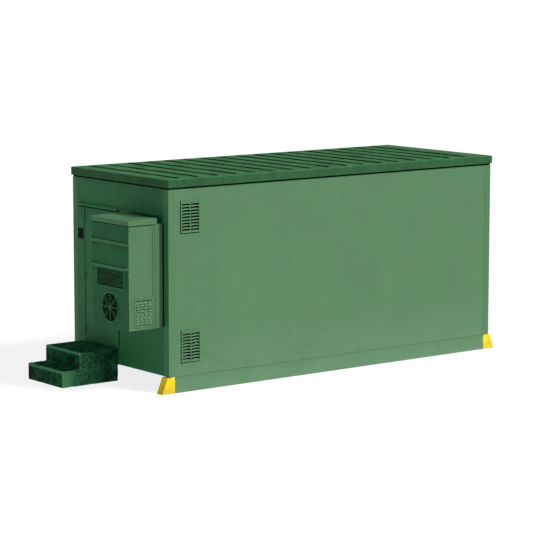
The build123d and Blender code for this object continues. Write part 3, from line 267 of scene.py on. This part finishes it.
MATERIALS = {
    "wall": finish("wall_enamel", GREEN, 0.52, mottle=0.05, streak=0.10, speckle=0.85, dust=0.34,
                   dent=0.10, grain=0.25, grain_scale=320),
    # the end walls: painted shade, a darker copy of the wall green
    "end_wall": finish("end_wall_shade_enamel", END_SHADE_GREEN, 0.55, mottle=0.07, streak=0.16, speckle=0.35,
                       dust=0.06, dust_colour=(0.06, 0.19, 0.09), dent=0.10, grain=0.25, grain_scale=320,
                       gloss=0.10),
    # corner trims: painted shade on their end-facing faces, to match the darker end walls
    "trim": finish("trim_enamel", GREEN, 0.50, mottle=0.05, streak=0.10, speckle=0.35, dust=0.25, edge_rub_and_highlight=0.5,
                   end_face_shade=(0.46, 0.92, 0.78), gloss=0.12),
    # roof lid: painted shade on the upright faces of its skirt, and a painted highlight on its edges
    "roof": finish("roof_enamel", ROOF_GREEN, 0.62, mottle=0.22, mottle_scale=2.6, streak=0.15, speckle=0.8,
                   speckle_scale=34, grain=0.3, gloss=0.05, edge_rub_and_highlight=0.4, edge_rub_and_highlight_colour=(0.10, 0.22, 0.12),
                   upright_shade=0.45),
    # seam caps: near-black as painted shadow of the standing seams, with large patches where the painted
    # shadow fades
    "seam": finish("seam_shadow_enamel", (0.004, 0.014, 0.007), 0.7, mottle=0.3, mottle_scale=5, speckle=0.3,
                   gloss=0.1, patchy=(0.026, 0.085, 0.036)),
    # skid rails: 6 percent lighter than the walls as painted light
    "rail": finish("rail_enamel", shade(GREEN, 1.06), 0.52, mottle=0.06, streak=0.10, speckle=0.40,
                   dust=0.38, dust_top=0.3, edge_rub_and_highlight=0.7),
    "foot": finish("foot_enamel", YELLOW, 0.5, mottle=0.10, mottle_scale=9, speckle=0.3, speckle_scale=150,
                   dust=0.45, dust_top=0.16, dust_colour=(0.16, 0.12, 0.03), edge_rub_and_highlight=0.8, grain=0.4,
                   edge_rub_and_highlight_colour=(0.20, 0.12, 0.03)),
    # the door and its trims: painted shade, a darker copy of the wall green
    "door": finish("door_shade_enamel", DOOR_SHADE_GREEN, 0.55, mottle=0.08, streak=0.14, speckle=0.30, grain=0.2,
                   edge_rub_and_highlight=0.5, edge_rub_and_highlight_colour=(0.10, 0.24, 0.13), gloss=0.10),
    # the cooler's front, grille and fan guard: painted shade, a darker copy of the wall green, with strong
    # painted highlights on the edges of the ledges and cover
    "cooler_front": finish("cooler_front_shade_enamel", COOLER_FRONT_SHADE_GREEN, 0.55, mottle=0.10, streak=0.16,
                           speckle=0.30, grain=0.3, edge_rub_and_highlight=1.0, edge_rub_and_highlight_colour=(0.10, 0.33, 0.16), gloss=0.08,
                           edge_width=0.012),
    # cooler cheeks and ledge caps: painted shade on faces that look along the shelter, painted highlights on
    # the edges
    "ac": finish("cooler_enamel", shade(GREEN, 0.90), 0.5, mottle=0.06, streak=0.12, speckle=0.30, grain=0.3,
                 edge_rub_and_highlight=0.8, edge_rub_and_highlight_colour=(0.12, 0.30, 0.15), edge_width=0.010, end_face_shade=(0.62, 0.95, 0.80)),
    # louvres: painted highlight on the edges, such as the frame's top edge
    "louvre": finish("louvre_enamel", shade(GREEN, 0.98), 0.48, mottle=0.06, speckle=0.2, edge_rub_and_highlight=0.9,
                     edge_rub_and_highlight_colour=(0.17, 0.36, 0.20), edge_width=0.009),
    "board": finish("faced_board", (0.72, 0.73, 0.70), 0.4, mottle=0.03, streak=0.05, grain=0.3,
                    grain_scale=180),
    "primer": finish("dark_primer", (0.020, 0.028, 0.024), 0.6, mottle=0.2, mottle_scale=4, speckle=0.3),
    "rubber": finish("seal_rubber", (0.0015, 0.0035, 0.0025), 0.8, mottle=0.3, mottle_scale=12, grain=0.5,
                     gloss=0.03),
    "zinc": finish("zinc_steel", (0.48, 0.49, 0.48), 0.35, metal=0.9, mottle=0.12, mottle_scale=30,
                   grain=0.3),
    "black_plate": finish("black_plate", (0.0025, 0.0060, 0.0045), 0.6, mottle=0.3, mottle_scale=14,
                          grain=0.3, gloss=0.03),
    "stone": stone(),
    # the coil is near-black: painted shade behind the grille
    "coil": finned("coil_fins", (0.005, 0.030, 0.015), 0.0042),
    "radiator": finned("radiator_fins", (0.10, 0.10, 0.11), 0.005),
    "fan": finish("fan_plastic", (0.002, 0.005, 0.004), 0.6, mottle=0.2, mottle_scale=16, grain=0.3,
                  gloss=0.04),
    "machine": finish("machine_grey", (0.11, 0.12, 0.13), 0.45, mottle=0.1, mottle_scale=8, edge_rub_and_highlight=0.6,
                      grain=0.3),
    "cabinet": finish("powder_coat", (0.46, 0.47, 0.45), 0.42, mottle=0.03, grain=0.5, grain_scale=260,
                      edge_rub_and_highlight=0.3),
    "breaker": finish("breaker_case", (0.02, 0.02, 0.022), 0.5, mottle=0.15, mottle_scale=25),
    "battery": finish("battery_case", (0.03, 0.03, 0.034), 0.45, mottle=0.15, mottle_scale=20),
    "lens": finish("frosted_lens", (0.85, 0.86, 0.82), 0.3, mottle=0.02, grain=0.4, grain_scale=220),
    "tank": finish("tank_enamel", (0.014, 0.015, 0.017), 0.35, mottle=0.2, mottle_scale=5, dust=0.3,
                   edge_rub_and_highlight=0.7),
    "iron": finish("painted_iron", (0.045, 0.085, 0.150), 0.5, mottle=0.15, mottle_scale=7, grain=0.8,
                   grain_scale=150, edge_rub_and_highlight=0.7),
    "alternator": finish("alternator_enamel", (0.060, 0.130, 0.230), 0.4, mottle=0.1, mottle_scale=6,
                         edge_rub_and_highlight=0.6),
    "exhaust": finish("heat_steel", (0.26, 0.22, 0.18), 0.45, metal=0.85, mottle=0.3, mottle_scale=5,
                      streak=0.3),
    "stop": finish("stop_red", (0.55, 0.008, 0.006), 0.3, mottle=0.08, mottle_scale=40, grain=0.1, coat=0.5),
    "floor_plate": chequer_plate(),
}

NODE_FINISH = {
    "wall": ["vent_side_wall", "rear_side_wall"],
    "end_wall": ["door_end_wall", "far_end_wall"],
    "trim": ["corner_trims"],
    "roof": ["roof_lid"],
    "seam": ["roof_seams"],
    "rail": ["skid_rails"],
    "foot": ["corner_feet"],
    "door": ["door_frame", "door_leaf", "drip_cap", "ac_flashing"],
    "ac": ["ac_cabinet", "ac_top_cover", "ac_mount_frame"],
    "cooler_front": ["ac_front_panel", "ac_grille", "ac_fan_guard"],
    "louvre": ["upper_vent", "lower_vent", "discharge_louvre", "intake_louvre"],
    "board": ["wall_liners", "roof_core", "door_liner", "partition_wall"],
    "primer": ["floor_frame", "battery_rack"],
    # the roof gasket is a real seal, near-black also as painted shadow under the lid
    "rubber": ["roof_gasket", "door_seal", "vibration_mounts", "drive_belt"],
    "zinc": ["hinge_pins", "door_levers", "latch_bolt", "crank_train"],
    "black_plate": ["door_plate"],
    "stone": ["entry_steps"],
    "coil": ["ac_condenser_coil"],
    "radiator": ["radiator"],
    "fan": ["ac_fan", "cooling_fan"],
    "machine": ["ac_fan_motor", "air_cleaner", "generator_controller"],
    "cabinet": ["distribution_cabinet", "cabinet_door", "partition_door"],
    "breaker": ["breakers"],
    "battery": ["batteries"],
    "lens": ["ceiling_lights"],
    "tank": ["base_tank", "ac_compressor"],
    "iron": ["engine_block", "cylinder_head"],
    "alternator": ["alternator"],
    "exhaust": ["exhaust_silencer"],
    "stop": ["stop_button"],
    "floor_plate": ["floor_plate"],
}


# walls with openings and hidden sheets keep their plain edges
UNBEVELLED = {"wall_liners", "roof_core", "roof_gasket", "floor_frame", "door_seal", "floor_plate",
              "door_end_wall", "door_frame", "ac_mount_frame", "distribution_cabinet"}
WELD_REACH, FOLD_WIDTH, FOLD_ANGLE = 0.00002, 0.0015, 35


def dress_cad():
    """Every CAD node gets its finish, and most get the thin edge that folded or cast metal has."""
    for key, names in NODE_FINISH.items():
        for name in names:
            node = NODES[name]
            node.data.materials.clear()
            node.data.materials.append(MATERIALS[key])
            if name in UNBEVELLED:
                continue
            weld = node.modifiers.new("weld", "WELD")
            weld.merge_threshold = WELD_REACH
            bevel = node.modifiers.new("edge", "BEVEL")
            bevel.width, bevel.segments, bevel.limit_method = FOLD_WIDTH, 2, "ANGLE"
            bevel.angle_limit = math.radians(FOLD_ANGLE)
            bevel.harden_normals = True


# ---------------------------------------------------------------- mesh helpers
def in_scene(name, data):
    obj = bpy.data.objects.new(name, data)
    bpy.context.scene.collection.objects.link(obj)
    return obj


def smooth_faces(mesh):
    for polygon in mesh.polygons:
        polygon.use_smooth = True


def piece(name, build, material, body="shelter", smooth=35):
    """A mesh object filled by build(bmesh), with its finish, riding on a body."""
    mesh = bpy.data.meshes.new(name)
    bm = bmesh.new()
    build(bm)
    bmesh.ops.recalc_face_normals(bm, faces=bm.faces)
    bm.to_mesh(mesh)
    bm.free()
    obj = in_scene(name, mesh)
    mesh.materials.append(MATERIALS[material])
    smooth_faces(mesh)
    mesh.set_sharp_from_angle(angle=math.radians(smooth))
    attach(obj, body)
    return obj


def bar(bm, low, high, edge=0.0015):
    """A block between two corners, with rounded edges."""
    low, high = Vector(low), Vector(high)
    size, middle = high - low, (low + high) / 2
    made = bmesh.ops.create_cube(bm, size=1.0)["verts"]
    for vertex in made:
        vertex.co = Vector(a * b for a, b in zip(vertex.co, size))
    edges = list({e for v in made for e in v.link_edges})
    result = bmesh.ops.bevel(bm, geom=edges, offset=min(edge, min(size) * 0.45), segments=2, profile=0.6,
                             affect="EDGES", clamp_overlap=True)
    made = list({*[v for v in made if v.is_valid], *result["verts"]})
    bmesh.ops.transform(bm, matrix=Matrix.Translation(middle), verts=made)


def loft(bm, rings, caps=True):
    """Faces between closed rings of points, each ring the same length."""
    rows = [[bm.verts.new(p) for p in ring] for ring in rings]
    count = len(rows[0])
    for a, b in zip(rows, rows[1:]):
        for i in range(count):
            j = (i + 1) % count
            bm.faces.new((a[i], a[j], b[j], b[i]))
    if caps:
        bm.faces.new(rows[0])
        bm.faces.new(list(reversed(rows[-1])))
    return rows


def hoop(bm, rings):
    """Faces along a run of rings that comes back to its start."""
    loft(bm, [*rings, rings[0]], caps=False)
    bmesh.ops.remove_doubles(bm, verts=bm.verts, dist=MERGE)


def circle(count):
    """Cosine and sine at even steps round a full turn."""
    return [(math.cos(a), math.sin(a)) for a in (2 * math.pi * i / count for i in range(count))]


def spread(first, last, count):
    """Evenly spaced numbers, both ends included."""
    return [first + (last - first) * i / (count - 1) for i in range(count)]


def proud(face, out, behind, before):
    """A span across a face that looks along out, lowest first."""
    return sorted((face - out * behind, face + out * before))


def screw(bm, place, out, radius):
    """A pan head on a washer, standing out of a face."""
    along = Vector(out).normalized()
    across = along.orthogonal().normalized()
    up = along.cross(across)
    head = [(-0.001, radius * 1.5), (0.0008, radius * 1.5), (0.0008, radius), (0.0028, radius * 0.85),
            (0.0036, radius * 0.45), (0.0036, radius * 0.42), (0.0026, radius * 0.36)]
    loft(bm, [[Vector(place) + along * height + wide * (across * c + up * s) for c, s in circle(12)]
              for height, wide in head])


def round_rectangle(x, z, radius, steps=5):
    """Points round a rectangle with rounded corners, in the plane of x and z."""
    points = []
    for cx, cz, start in ((x[1], z[1], 0), (x[0], z[1], 90), (x[0], z[0], 180), (x[1], z[0], 270)):
        mx = cx - math.copysign(radius, cx - sum(x) / 2)
        mz = cz - math.copysign(radius, cz - sum(z) / 2)
        for i in range(steps + 1):
            a = math.radians(start + 90 * i / steps)
            points.append((mx + radius * math.cos(a), mz + radius * math.sin(a)))
    return points


# ---------------------------------------------------------------- louvred vents
# a blade's section: share of its belly outwards, and height over the blade's line
BLADE_SECTION = [(0.0, 0.001), (0.30, -0.001), (0.72, -0.004), (0.95, -0.008), (1.0, -0.0125),
                 (0.90, -0.0135), (0.84, -0.009), (0.62, -0.006), (0.22, -0.003), (-0.1, -0.001)]


def louvre_panel(node, arch):
    """Two columns of nine pressed louvres in a raised frame. Each blade bellies out and its lip is arched."""
    low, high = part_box(node)
    rows, steps = 9, 14
    border, mullion, plate_out, rim_out, belly, sheet = 0.022, 0.014, 0.007, 0.016, 0.021, 0.0018
    wall = high.y
    rim, plate = wall - rim_out, wall - plate_out
    inner_x, inner_z = (low.x + border, high.x - border), (low.z + border, high.z - border)
    middle = (low.x + high.x) / 2
    columns = [(inner_x[0], middle - mullion / 2), (middle + mullion / 2, inner_x[1])]
    pitch = (inner_z[1] - inner_z[0] - arch) / rows

    def frame_ring(bm):
        rings = []
        for y, inset, radius in ((wall, 0.0, 0.012), (rim + 0.002, 0.0, 0.012), (rim, 0.002, 0.011),
                                 (rim, border - 0.003, 0.004), (rim + 0.002, border - 0.001, 0.004),
                                 (plate + 0.003, border, 0.004)):
            rings.append([Vector((x, y, z)) for x, z in round_rectangle(
                (low.x + inset, high.x - inset), (low.z + inset, high.z - inset), radius)])
        loft(bm, rings, caps=False)
        bar(bm, (middle - mullion / 2, plate - 0.002, inner_z[0]),
            (middle + mullion / 2, plate + 0.004, inner_z[1]), 0.001)
        for x in (low.x + border / 2, high.x - border / 2):
            for z in spread(low.z + border / 2, high.z - border / 2, 4):
                screw(bm, (x, rim, z), (0, -1, 0), 0.004)

    def blades(bm):
        """Blades, each with the strip of plate above it. The lowest strip has no blade."""
        for x in columns:
            for row in range(rows + 1):
                crown = inner_z[1] - pitch * row
                blade, strip = [], []
                for i in range(steps + 1):
                    t = i / steps
                    side = 2 * t - 1
                    px = x[0] + (x[1] - x[0]) * t
                    z = crown - arch * side * side
                    out = belly * (1 - abs(side) ** 7) ** 0.5
                    top = inner_z[1] if row == 0 else z + 0.004
                    bottom = inner_z[0] if row == rows else z
                    strip.append([Vector((px, plate + dy, bz))
                                  for dy, bz in ((0, top), (0, bottom), (sheet, bottom), (sheet, top))])
                    blade.append([Vector((px, plate - out * share, z + dz)) for share, dz in BLADE_SECTION])
                loft(bm, strip)
                if row < rows:
                    loft(bm, blade)

    def shading_screen(bm):
        """The near-black insect mesh behind the blades, a real mesh that is also painted shade in the slots,
        on a flange that beds the frame on the wall. The flange stands out further at the left and the bottom
        as painted shadow.
        """
        bar(bm, (inner_x[0] - 0.004, wall - 0.0026, inner_z[0] - 0.004),
            (inner_x[1] + 0.004, wall - 0.0010, inner_z[1] + 0.004), 0.0003)
        lip, under, bed = 0.006, 0.004, 0.0035
        bottom, top = (low.z - lip - 0.005, low.z + under), (high.z - under, high.z + 0.001)
        left, right = (low.x - lip, low.x + under), (high.x - under, high.x + 0.002)
        for x, z in (((left[0], right[1]), bottom), ((left[0], right[1]), top),
                     (left, (bottom[0], top[1])), (right, (bottom[0], top[1]))):
            bar(bm, (x[0], wall - bed, z[0]), (x[1], wall - 0.0002, z[1]), 0.0008)

    ring = piece(node + "_frame", frame_ring, "louvre")
    piece(node + "_screen", shading_screen, "rubber")
    piece(node + "_blades", blades, "louvre", smooth=50)
    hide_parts(node)


# ---------------------------------------------------------------- entry steps
CAST_BEVEL, CAST_GRID = 0.005, 0.014
CAST_SWELL = 0.0015  # makes up for the corners that the grid rounds off


def cast_steps():
    """The step block as rough cast stone: worn arrises, pits and an uneven face, inside the plain block."""
    block = in_scene("entry_steps_cast", NODES["entry_steps"].data.copy())
    bevel = block.modifiers.new("arris", "BEVEL")
    bevel.width, bevel.segments, bevel.limit_method = CAST_BEVEL, 2, "ANGLE"
    remesh = block.modifiers.new("grid", "REMESH")
    remesh.mode, remesh.voxel_size = "VOXEL", CAST_GRID
    mesh = bpy.data.meshes.new_from_object(block.evaluated_get(bpy.context.evaluated_depsgraph_get()))
    block.modifiers.clear()
    block.data = mesh
    low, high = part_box("entry_steps")
    for vertex in mesh.vertices:
        spot, out = vertex.co.copy(), vertex.normal.copy()
        coarse = noise.fractal(spot * 5, 0.7, 2.1, 4, noise_basis="PERLIN_ORIGINAL")
        fine = noise.fractal(spot * 34 + Vector((3, 1, 7)), 0.8, 2.2, 4, noise_basis="PERLIN_ORIGINAL")
        chip = max(0.0, noise.noise(spot * 11 + Vector((9, 2, 4))) - 0.28)
        depth = 0.0045 * coarse + 0.0028 * fine + 0.05 * chip * chip
        moved = spot - out * (depth - CAST_SWELL)
        vertex.co = Vector(max(a, min(b, c)) for a, b, c in zip(low, high, moved))
    mesh.materials.clear()
    mesh.materials.append(MATERIALS["stone"])
    smooth_faces(mesh)
    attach(block, "shelter")
    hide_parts("entry_steps")


# ---------------------------------------------------------------- air conditioner details
CABINET_LOW, CABINET_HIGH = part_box("ac_cabinet")
PANEL_LOW, PANEL_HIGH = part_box("ac_front_panel")
GUARD_LOW, GUARD_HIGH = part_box("ac_fan_guard")
GRILLE_LOW, GRILLE_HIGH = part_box("ac_grille")
MOUNT_LOW, MOUNT_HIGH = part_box("ac_mount_frame")
FAN_Y, FAN_Z = (GUARD_LOW.y + GUARD_HIGH.y) / 2, (GUARD_LOW.z + GUARD_HIGH.z) / 2
FRONT = PANEL_HIGH.x - 0.004
WALL_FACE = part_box("door_end_wall")[0].x
# each rain ledge: its reach, then the heights of its fold, nose and foot over the panel's foot
LEDGES = ((0.023, 1.231, 1.203, 1.189), (0.025, 0.880, 0.863, 0.850))
# a pressed hood's section: share of its swell outwards, and height over its middle
HOOD_SECTION = [(0.0, 0.013), (0.55, 0.008), (0.92, 0.0), (1.0, -0.010), (0.84, -0.0105), (0.70, -0.001),
                (0.30, 0.006), (-0.2, 0.009)]


def cooler_side_panel(name, out):
    """A pressed panel on the cheek that looks along out: a rim, staggered rows of hoods, a slot above."""
    face = CABINET_LOW.y if out < 0 else CABINET_HIGH.y
    x0, x1 = CABINET_LOW.x + 0.084, CABINET_LOW.x + 0.398
    z0, z1 = CABINET_LOW.z + 0.038, CABINET_LOW.z + 0.468
    rows, columns, steps, rim = 9, 4, 8, 0.010
    pitch_z, pitch_x = (z1 - z0 - 0.105) / rows, (x1 - x0 - 0.050) / columns

    def build(bm):
        y = proud(face, out, 0.001, 0.0035)
        for a, b in (((x0, z0), (x1, z0 + rim)), ((x0, z1 - rim), (x1, z1)),
                     ((x0, z0), (x0 + rim, z1)), ((x1 - rim, z0), (x1, z1))):
            bar(bm, (a[0], y[0], a[1]), (b[0], y[1], b[1]))
        for row in range(rows):
            shift = 0.25 if row % 2 else -0.02
            for column in range(columns):
                cx = x0 + 0.025 + pitch_x * (column + 0.5 + shift * 0.5)
                cz = z0 + 0.030 + pitch_z * (row + 0.5)
                half = pitch_x * 0.40
                rings = []
                for i in range(steps + 1):
                    t = 2 * i / steps - 1
                    swell = 0.0085 * max(0.0, 1 - t ** 4) ** 0.6
                    rings.append([Vector((cx + half * t, face + out * (0.0005 + swell * share), cz + dz))
                                  for share, dz in HOOD_SECTION])
                loft(bm, rings)

    piece(name, build, "ac", smooth=50)


def cooler_flanges(bm):
    """Folded flanges at the back of both cheeks, with their screws."""
    low, high = CABINET_LOW, CABINET_HIGH
    for y, out in ((low.y, -1), (high.y, 1)):
        ys = proud(y, out, 0.001, 0.003)
        for back, width in ((0.004, 0.020), (0.052, 0.012)):
            bar(bm, (high.x - back - width, ys[0], low.z + 0.002), (high.x - back, ys[1], high.z - 0.004))
        for z in spread(low.z + 0.10, high.z - 0.10, 6):
            screw(bm, (high.x - 0.014, y + out * 0.003, z), (0, out, 0), 0.006)
        for z in spread(low.z + 0.06, high.z - 0.06, 5):
            screw(bm, (low.x + 0.016, y, z), (0, out, 0), 0.005)


def cooler_screws(bm):
    """Screws in the front panel, round the fan guard and in the grille's frame."""
    low, high = CABINET_LOW, CABINET_HIGH
    face, guard_radius, guard_screws, toward_door = low.x - 0.004, 0.223, 8, (-1, 0, 0)
    for y in (low.y + 0.016, high.y - 0.016):
        for z in (low.z + 0.03, low.z + 0.30, low.z + 0.78, low.z + 1.10, high.z - 0.12):
            screw(bm, (face, y, z), toward_door, 0.005)
    for i in range(guard_screws):
        a = 2 * math.pi * (i + 0.5) / guard_screws
        y, z = FAN_Y + math.cos(a) * guard_radius, FAN_Z + math.sin(a) * guard_radius
        screw(bm, (face - 0.003, y, z), toward_door, 0.005)
    for y in (GRILLE_LOW.y + 0.02, (GRILLE_LOW.y + GRILLE_HIGH.y) / 2, GRILLE_HIGH.y - 0.02):
        for z in (GRILLE_LOW.z + 0.014, GRILLE_HIGH.z - 0.014):
            screw(bm, (GRILLE_LOW.x, y, z), toward_door, 0.004)


def fan_shroud(bm):
    """A black bell mouth round the fan, with a back sheet that leaves room for the shaft. It is a real shroud
    whose black also paints the shade inside the fan opening.
    """
    section = [(0.0045, 0.200), (0.012, 0.196), (0.030, 0.194), (0.108, 0.194), (0.108, 0.016),
               (0.110, 0.016), (0.110, 0.198), (0.030, 0.198), (0.012, 0.202), (0.0045, 0.212)]
    hoop(bm, [[Vector((FRONT + depth, FAN_Y + r * c, FAN_Z + r * s)) for depth, r in section]
              for c, s in circle(48)])


def cooler_shadow_strips(bm):
    """Near-black strips as painted shadow: under the ledges and the cover, behind the cooler, and inside the
    grille.
    """
    low, high = CABINET_LOW, CABINET_HIGH
    for z in (*[PANEL_LOW.z + foot - 0.001 for *_, foot in LEDGES], PANEL_HIGH.z):
        bar(bm, (FRONT - 0.0035, low.y + 0.002, z - 0.011), (FRONT + 0.001, high.y - 0.002, z + 0.001), 0.001)
    for edge, out in ((low.y + 0.004, -1), (high.y - 0.004, 1)):
        ys = proud(edge, out, 0.001, 0.0035)
        bar(bm, (FRONT + 0.002, ys[0], PANEL_HIGH.z - 0.011),
            (high.x - 0.002, ys[1], PANEL_HIGH.z + 0.001), 0.001)
        ys = proud(edge, out, 0.008, 0.018)
        bar(bm, (WALL_FACE - 0.012, ys[0], MOUNT_LOW.z), (WALL_FACE - 0.0005, ys[1], MOUNT_HIGH.z), 0.002)
    # inside the grille the painted shadow is wide at the top and at one side
    y0, y1, z0, z1 = GRILLE_LOW.y + 0.040, GRILLE_HIGH.y - 0.040, GRILLE_LOW.z + 0.028, GRILLE_HIGH.z - 0.028
    lap = 0.004
    for ys, zs in (((y0, y1), (z1 - 0.020, z1 + lap)), ((y0, y1), (z0 - lap, z0 + 0.006)),
                   ((y1 - 0.024, y1 + lap), (z0, z1)), ((y0 - lap, y0 + 0.006), (z0, z1))):
        bar(bm, (FRONT + 0.0045, ys[0], zs[0]), (FRONT + 0.013, ys[1], zs[1]), 0.001)


def ledge_highlight_caps(bm):
    """A folded strip over the nose of each rain ledge, in the lighter cabinet paint as a painted highlight.
    """
    for reach, fold, nose, foot in LEDGES:
        section = [(reach - 0.0020, fold - 0.006), (reach + 0.0014, nose), (reach + 0.0014, foot),
                   (reach - 0.0004, foot), (reach - 0.0004, nose - 0.001), (reach - 0.0042, fold - 0.007)]
        loft(bm, [[Vector((FRONT - out, y, PANEL_LOW.z + up)) for out, up in section]
                  for y in (CABINET_LOW.y - 0.0005, CABINET_HIGH.y + 0.0005)])


def grille_mesh(bm):
    """Zigzag strands behind the wires of the grille, of uneven width."""
    y0, y1, z0, z1 = GRILLE_LOW.y + 0.044, GRILLE_HIGH.y - 0.044, GRILLE_LOW.z + 0.032, GRILLE_HIGH.z - 0.032
    rows, teeth, wide, back, thick = 7, 27, 0.0030, 0.0012, 0.0012
    pitch = (z1 - z0) / rows
    for row in range(rows):
        rings = []
        for i in range(teeth + 1):
            py = y0 + (y1 - y0) * i / teeth
            pz = z0 + pitch * (row + 0.5) + pitch * 0.36 * (1 if (i + row) % 2 else -1)
            swell = wide * random.uniform(0.5, 1.5)
            rings.append([Vector((FRONT + a, py, pz + b)) for a, b in (
                (back, -swell), (back + thick, -swell), (back + thick, swell), (back, swell))])
        loft(bm, rings)


def guard_rings(bm):
    """Four wire rings over the spokes of the fan guard."""
    centre, wire = Vector((GUARD_LOW.x + 0.004, FAN_Y, FAN_Z)), 0.0018
    for radius in (0.060, 0.095, 0.130, 0.165):
        hoop(bm, [[centre + Vector((0, c, s)) * (radius + wire * a) + Vector((wire * b, 0, 0))
                   for a, b in circle(6)] for c, s in circle(48)])


def cooler_details():
    piece("cooler_flanges", cooler_flanges, "ac")
    piece("cooler_screws", cooler_screws, "cooler_front")
    piece("fan_guard_rings", guard_rings, "cooler_front", smooth=80)
    piece("fan_shroud", fan_shroud, "fan", smooth=50)
    piece("cooler_shadow_strips", cooler_shadow_strips, "rubber")
    piece("cooler_ledge_highlight_caps", ledge_highlight_caps, "ac")
    piece("cooler_grille_mesh", grille_mesh, "cooler_front")
    cooler_side_panel("cooler_panel_near", -1)
    cooler_side_panel("cooler_panel_rear", 1)


# ---------------------------------------------------------------- roof seal and door strips, near-black as painted shadow
def roof_shadow_lip(bm):
    """The outer lip of the roof seal: a ribbed near-black strip that closes the joint flush with the walls, a
    real seal that also stands for the shadow line under the lid.
    """
    low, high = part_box("roof_gasket")
    reach, thick, rise = 0.019, 0.010, high.z - low.z
    section = [(0.0, 0.0), (0.75, 0.02), (1.0, 0.20), (0.80, 0.42), (0.80, 0.58), (1.0, 0.80), (0.75, 0.98),
               (0.0, 1.0)]
    rings = []
    for sx, sy in ((-1, -1), (1, -1), (1, 1), (-1, 1)):
        x, y = (high.x if sx > 0 else low.x), (high.y if sy > 0 else low.y)
        outs = [(reach - thick + thick * t, low.z + rise * k) for t, k in section]
        rings.append([Vector((x + sx * out, y + sy * out, z)) for out, z in outs])
    hoop(bm, rings)


def door_shadow_strips(bm):
    """Near-black rubber strips as painted shadow lines: on both sides of the leaf and under the drip cap."""
    cap_low, cap_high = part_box("drip_cap")
    leaf_low, leaf_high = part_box("door_leaf")
    lock_edge, hinge_edge = leaf_low.y, leaf_high.y - 0.021
    for y0, y1 in ((lock_edge - 0.014, lock_edge - 0.004), (hinge_edge + 0.0035, hinge_edge + 0.029)):
        bar(bm, (WALL_FACE - 0.0030, y0, leaf_low.z), (WALL_FACE - 0.0002, y1, leaf_high.z + 0.010), 0.0010)
    bar(bm, (cap_low.x - 0.0015, cap_low.y + 0.004, cap_low.z - 0.006),
        (cap_low.x + 0.0050, cap_high.y - 0.004, cap_low.z + 0.010), 0.0010)


# ---------------------------------------------------------------- studio, camera and light
def stage():
    """A pale studio floor that curves up into a low wall far out, all round and under the object."""
    bm = bmesh.new()
    reach, rise, radius, steps = 200.0, 22.0, 12.0, 10
    profile = [(20.0, 0.0), (60.0, 0.0), (reach - radius, 0.0)]
    profile += [(reach - radius + radius * math.sin(a), radius - radius * math.cos(a))
                for a in (math.pi / 2 * i / steps for i in range(1, steps + 1))]
    profile.append((reach, rise))
    rows = loft(bm, [[Vector((out * c, -out * s, up)) for c, s in circle(48)] for out, up in profile],
                caps=False)
    bm.faces.new(list(reversed(rows[0])))
    mesh = bpy.data.meshes.new("studio_sweep")
    bm.to_mesh(mesh)
    bm.free()
    smooth_faces(mesh)
    g = Graph("studio_white")
    g.put(g.shader.inputs["Base Color"], (0.16, 0.16, 0.16))
    g.put(g.shader.inputs["Roughness"], 0.9)
    g.put(g.shader.inputs["Specular IOR Level"], 0.0)
    g.put(g.shader.inputs["Emission Color"], (1, 1, 1))
    g.put(g.shader.inputs["Emission Strength"], 0.82)
    mesh.materials.append(g.material)
    in_scene("studio_sweep", mesh)


CAMERA_YAW, CAMERA_PITCH = math.radians(37.4845), math.radians(8.0007)
CAMERA_PLACE = (-20.727, -27.070, 6.248)
CAMERA_LENS = 154.0


def camera():
    data = bpy.data.cameras.new("camera")
    data.sensor_width, data.lens = 36.0, CAMERA_LENS
    data.clip_end = 500
    view = in_scene("camera", data)
    view.location = CAMERA_PLACE
    view.rotation_euler = (math.pi / 2 - CAMERA_PITCH, 0, -CAMERA_YAW)
    bpy.context.scene.camera = view


def sun(name, towards, strength, angle):
    data = bpy.data.lights.new(name, "SUN")
    data.energy, data.angle = strength, math.radians(angle)
    in_scene(name, data).rotation_euler = Vector(towards).to_track_quat("Z", "Y").to_euler()


def lighting():
    """Soft key from the vented side, a weak steep light over the door end, and a faint even sky."""
    sun("key", (0.40, -0.80, 0.92), 4.5, 12)
    sun("overhead", (-0.32, -0.10, 0.94), 0.95, 20)
    world = bpy.data.worlds.new("studio")
    world.use_nodes = True
    sky = world.node_tree.nodes["Background"].inputs
    sky["Color"].default_value = (1, 1, 1, 1)
    sky["Strength"].default_value = 0.12
    bpy.context.scene.world = world


bpy.context.scene.view_settings.view_transform = "Standard"
dress_cad()
stage()
camera()
lighting()
louvre_panel("upper_vent", 0.008)
louvre_panel("lower_vent", 0.013)
cast_steps()
cooler_details()
piece("door_shade_strips", door_shadow_strips, "rubber")
piece("roof_shadow_lip", roof_shadow_lip, "rubber")
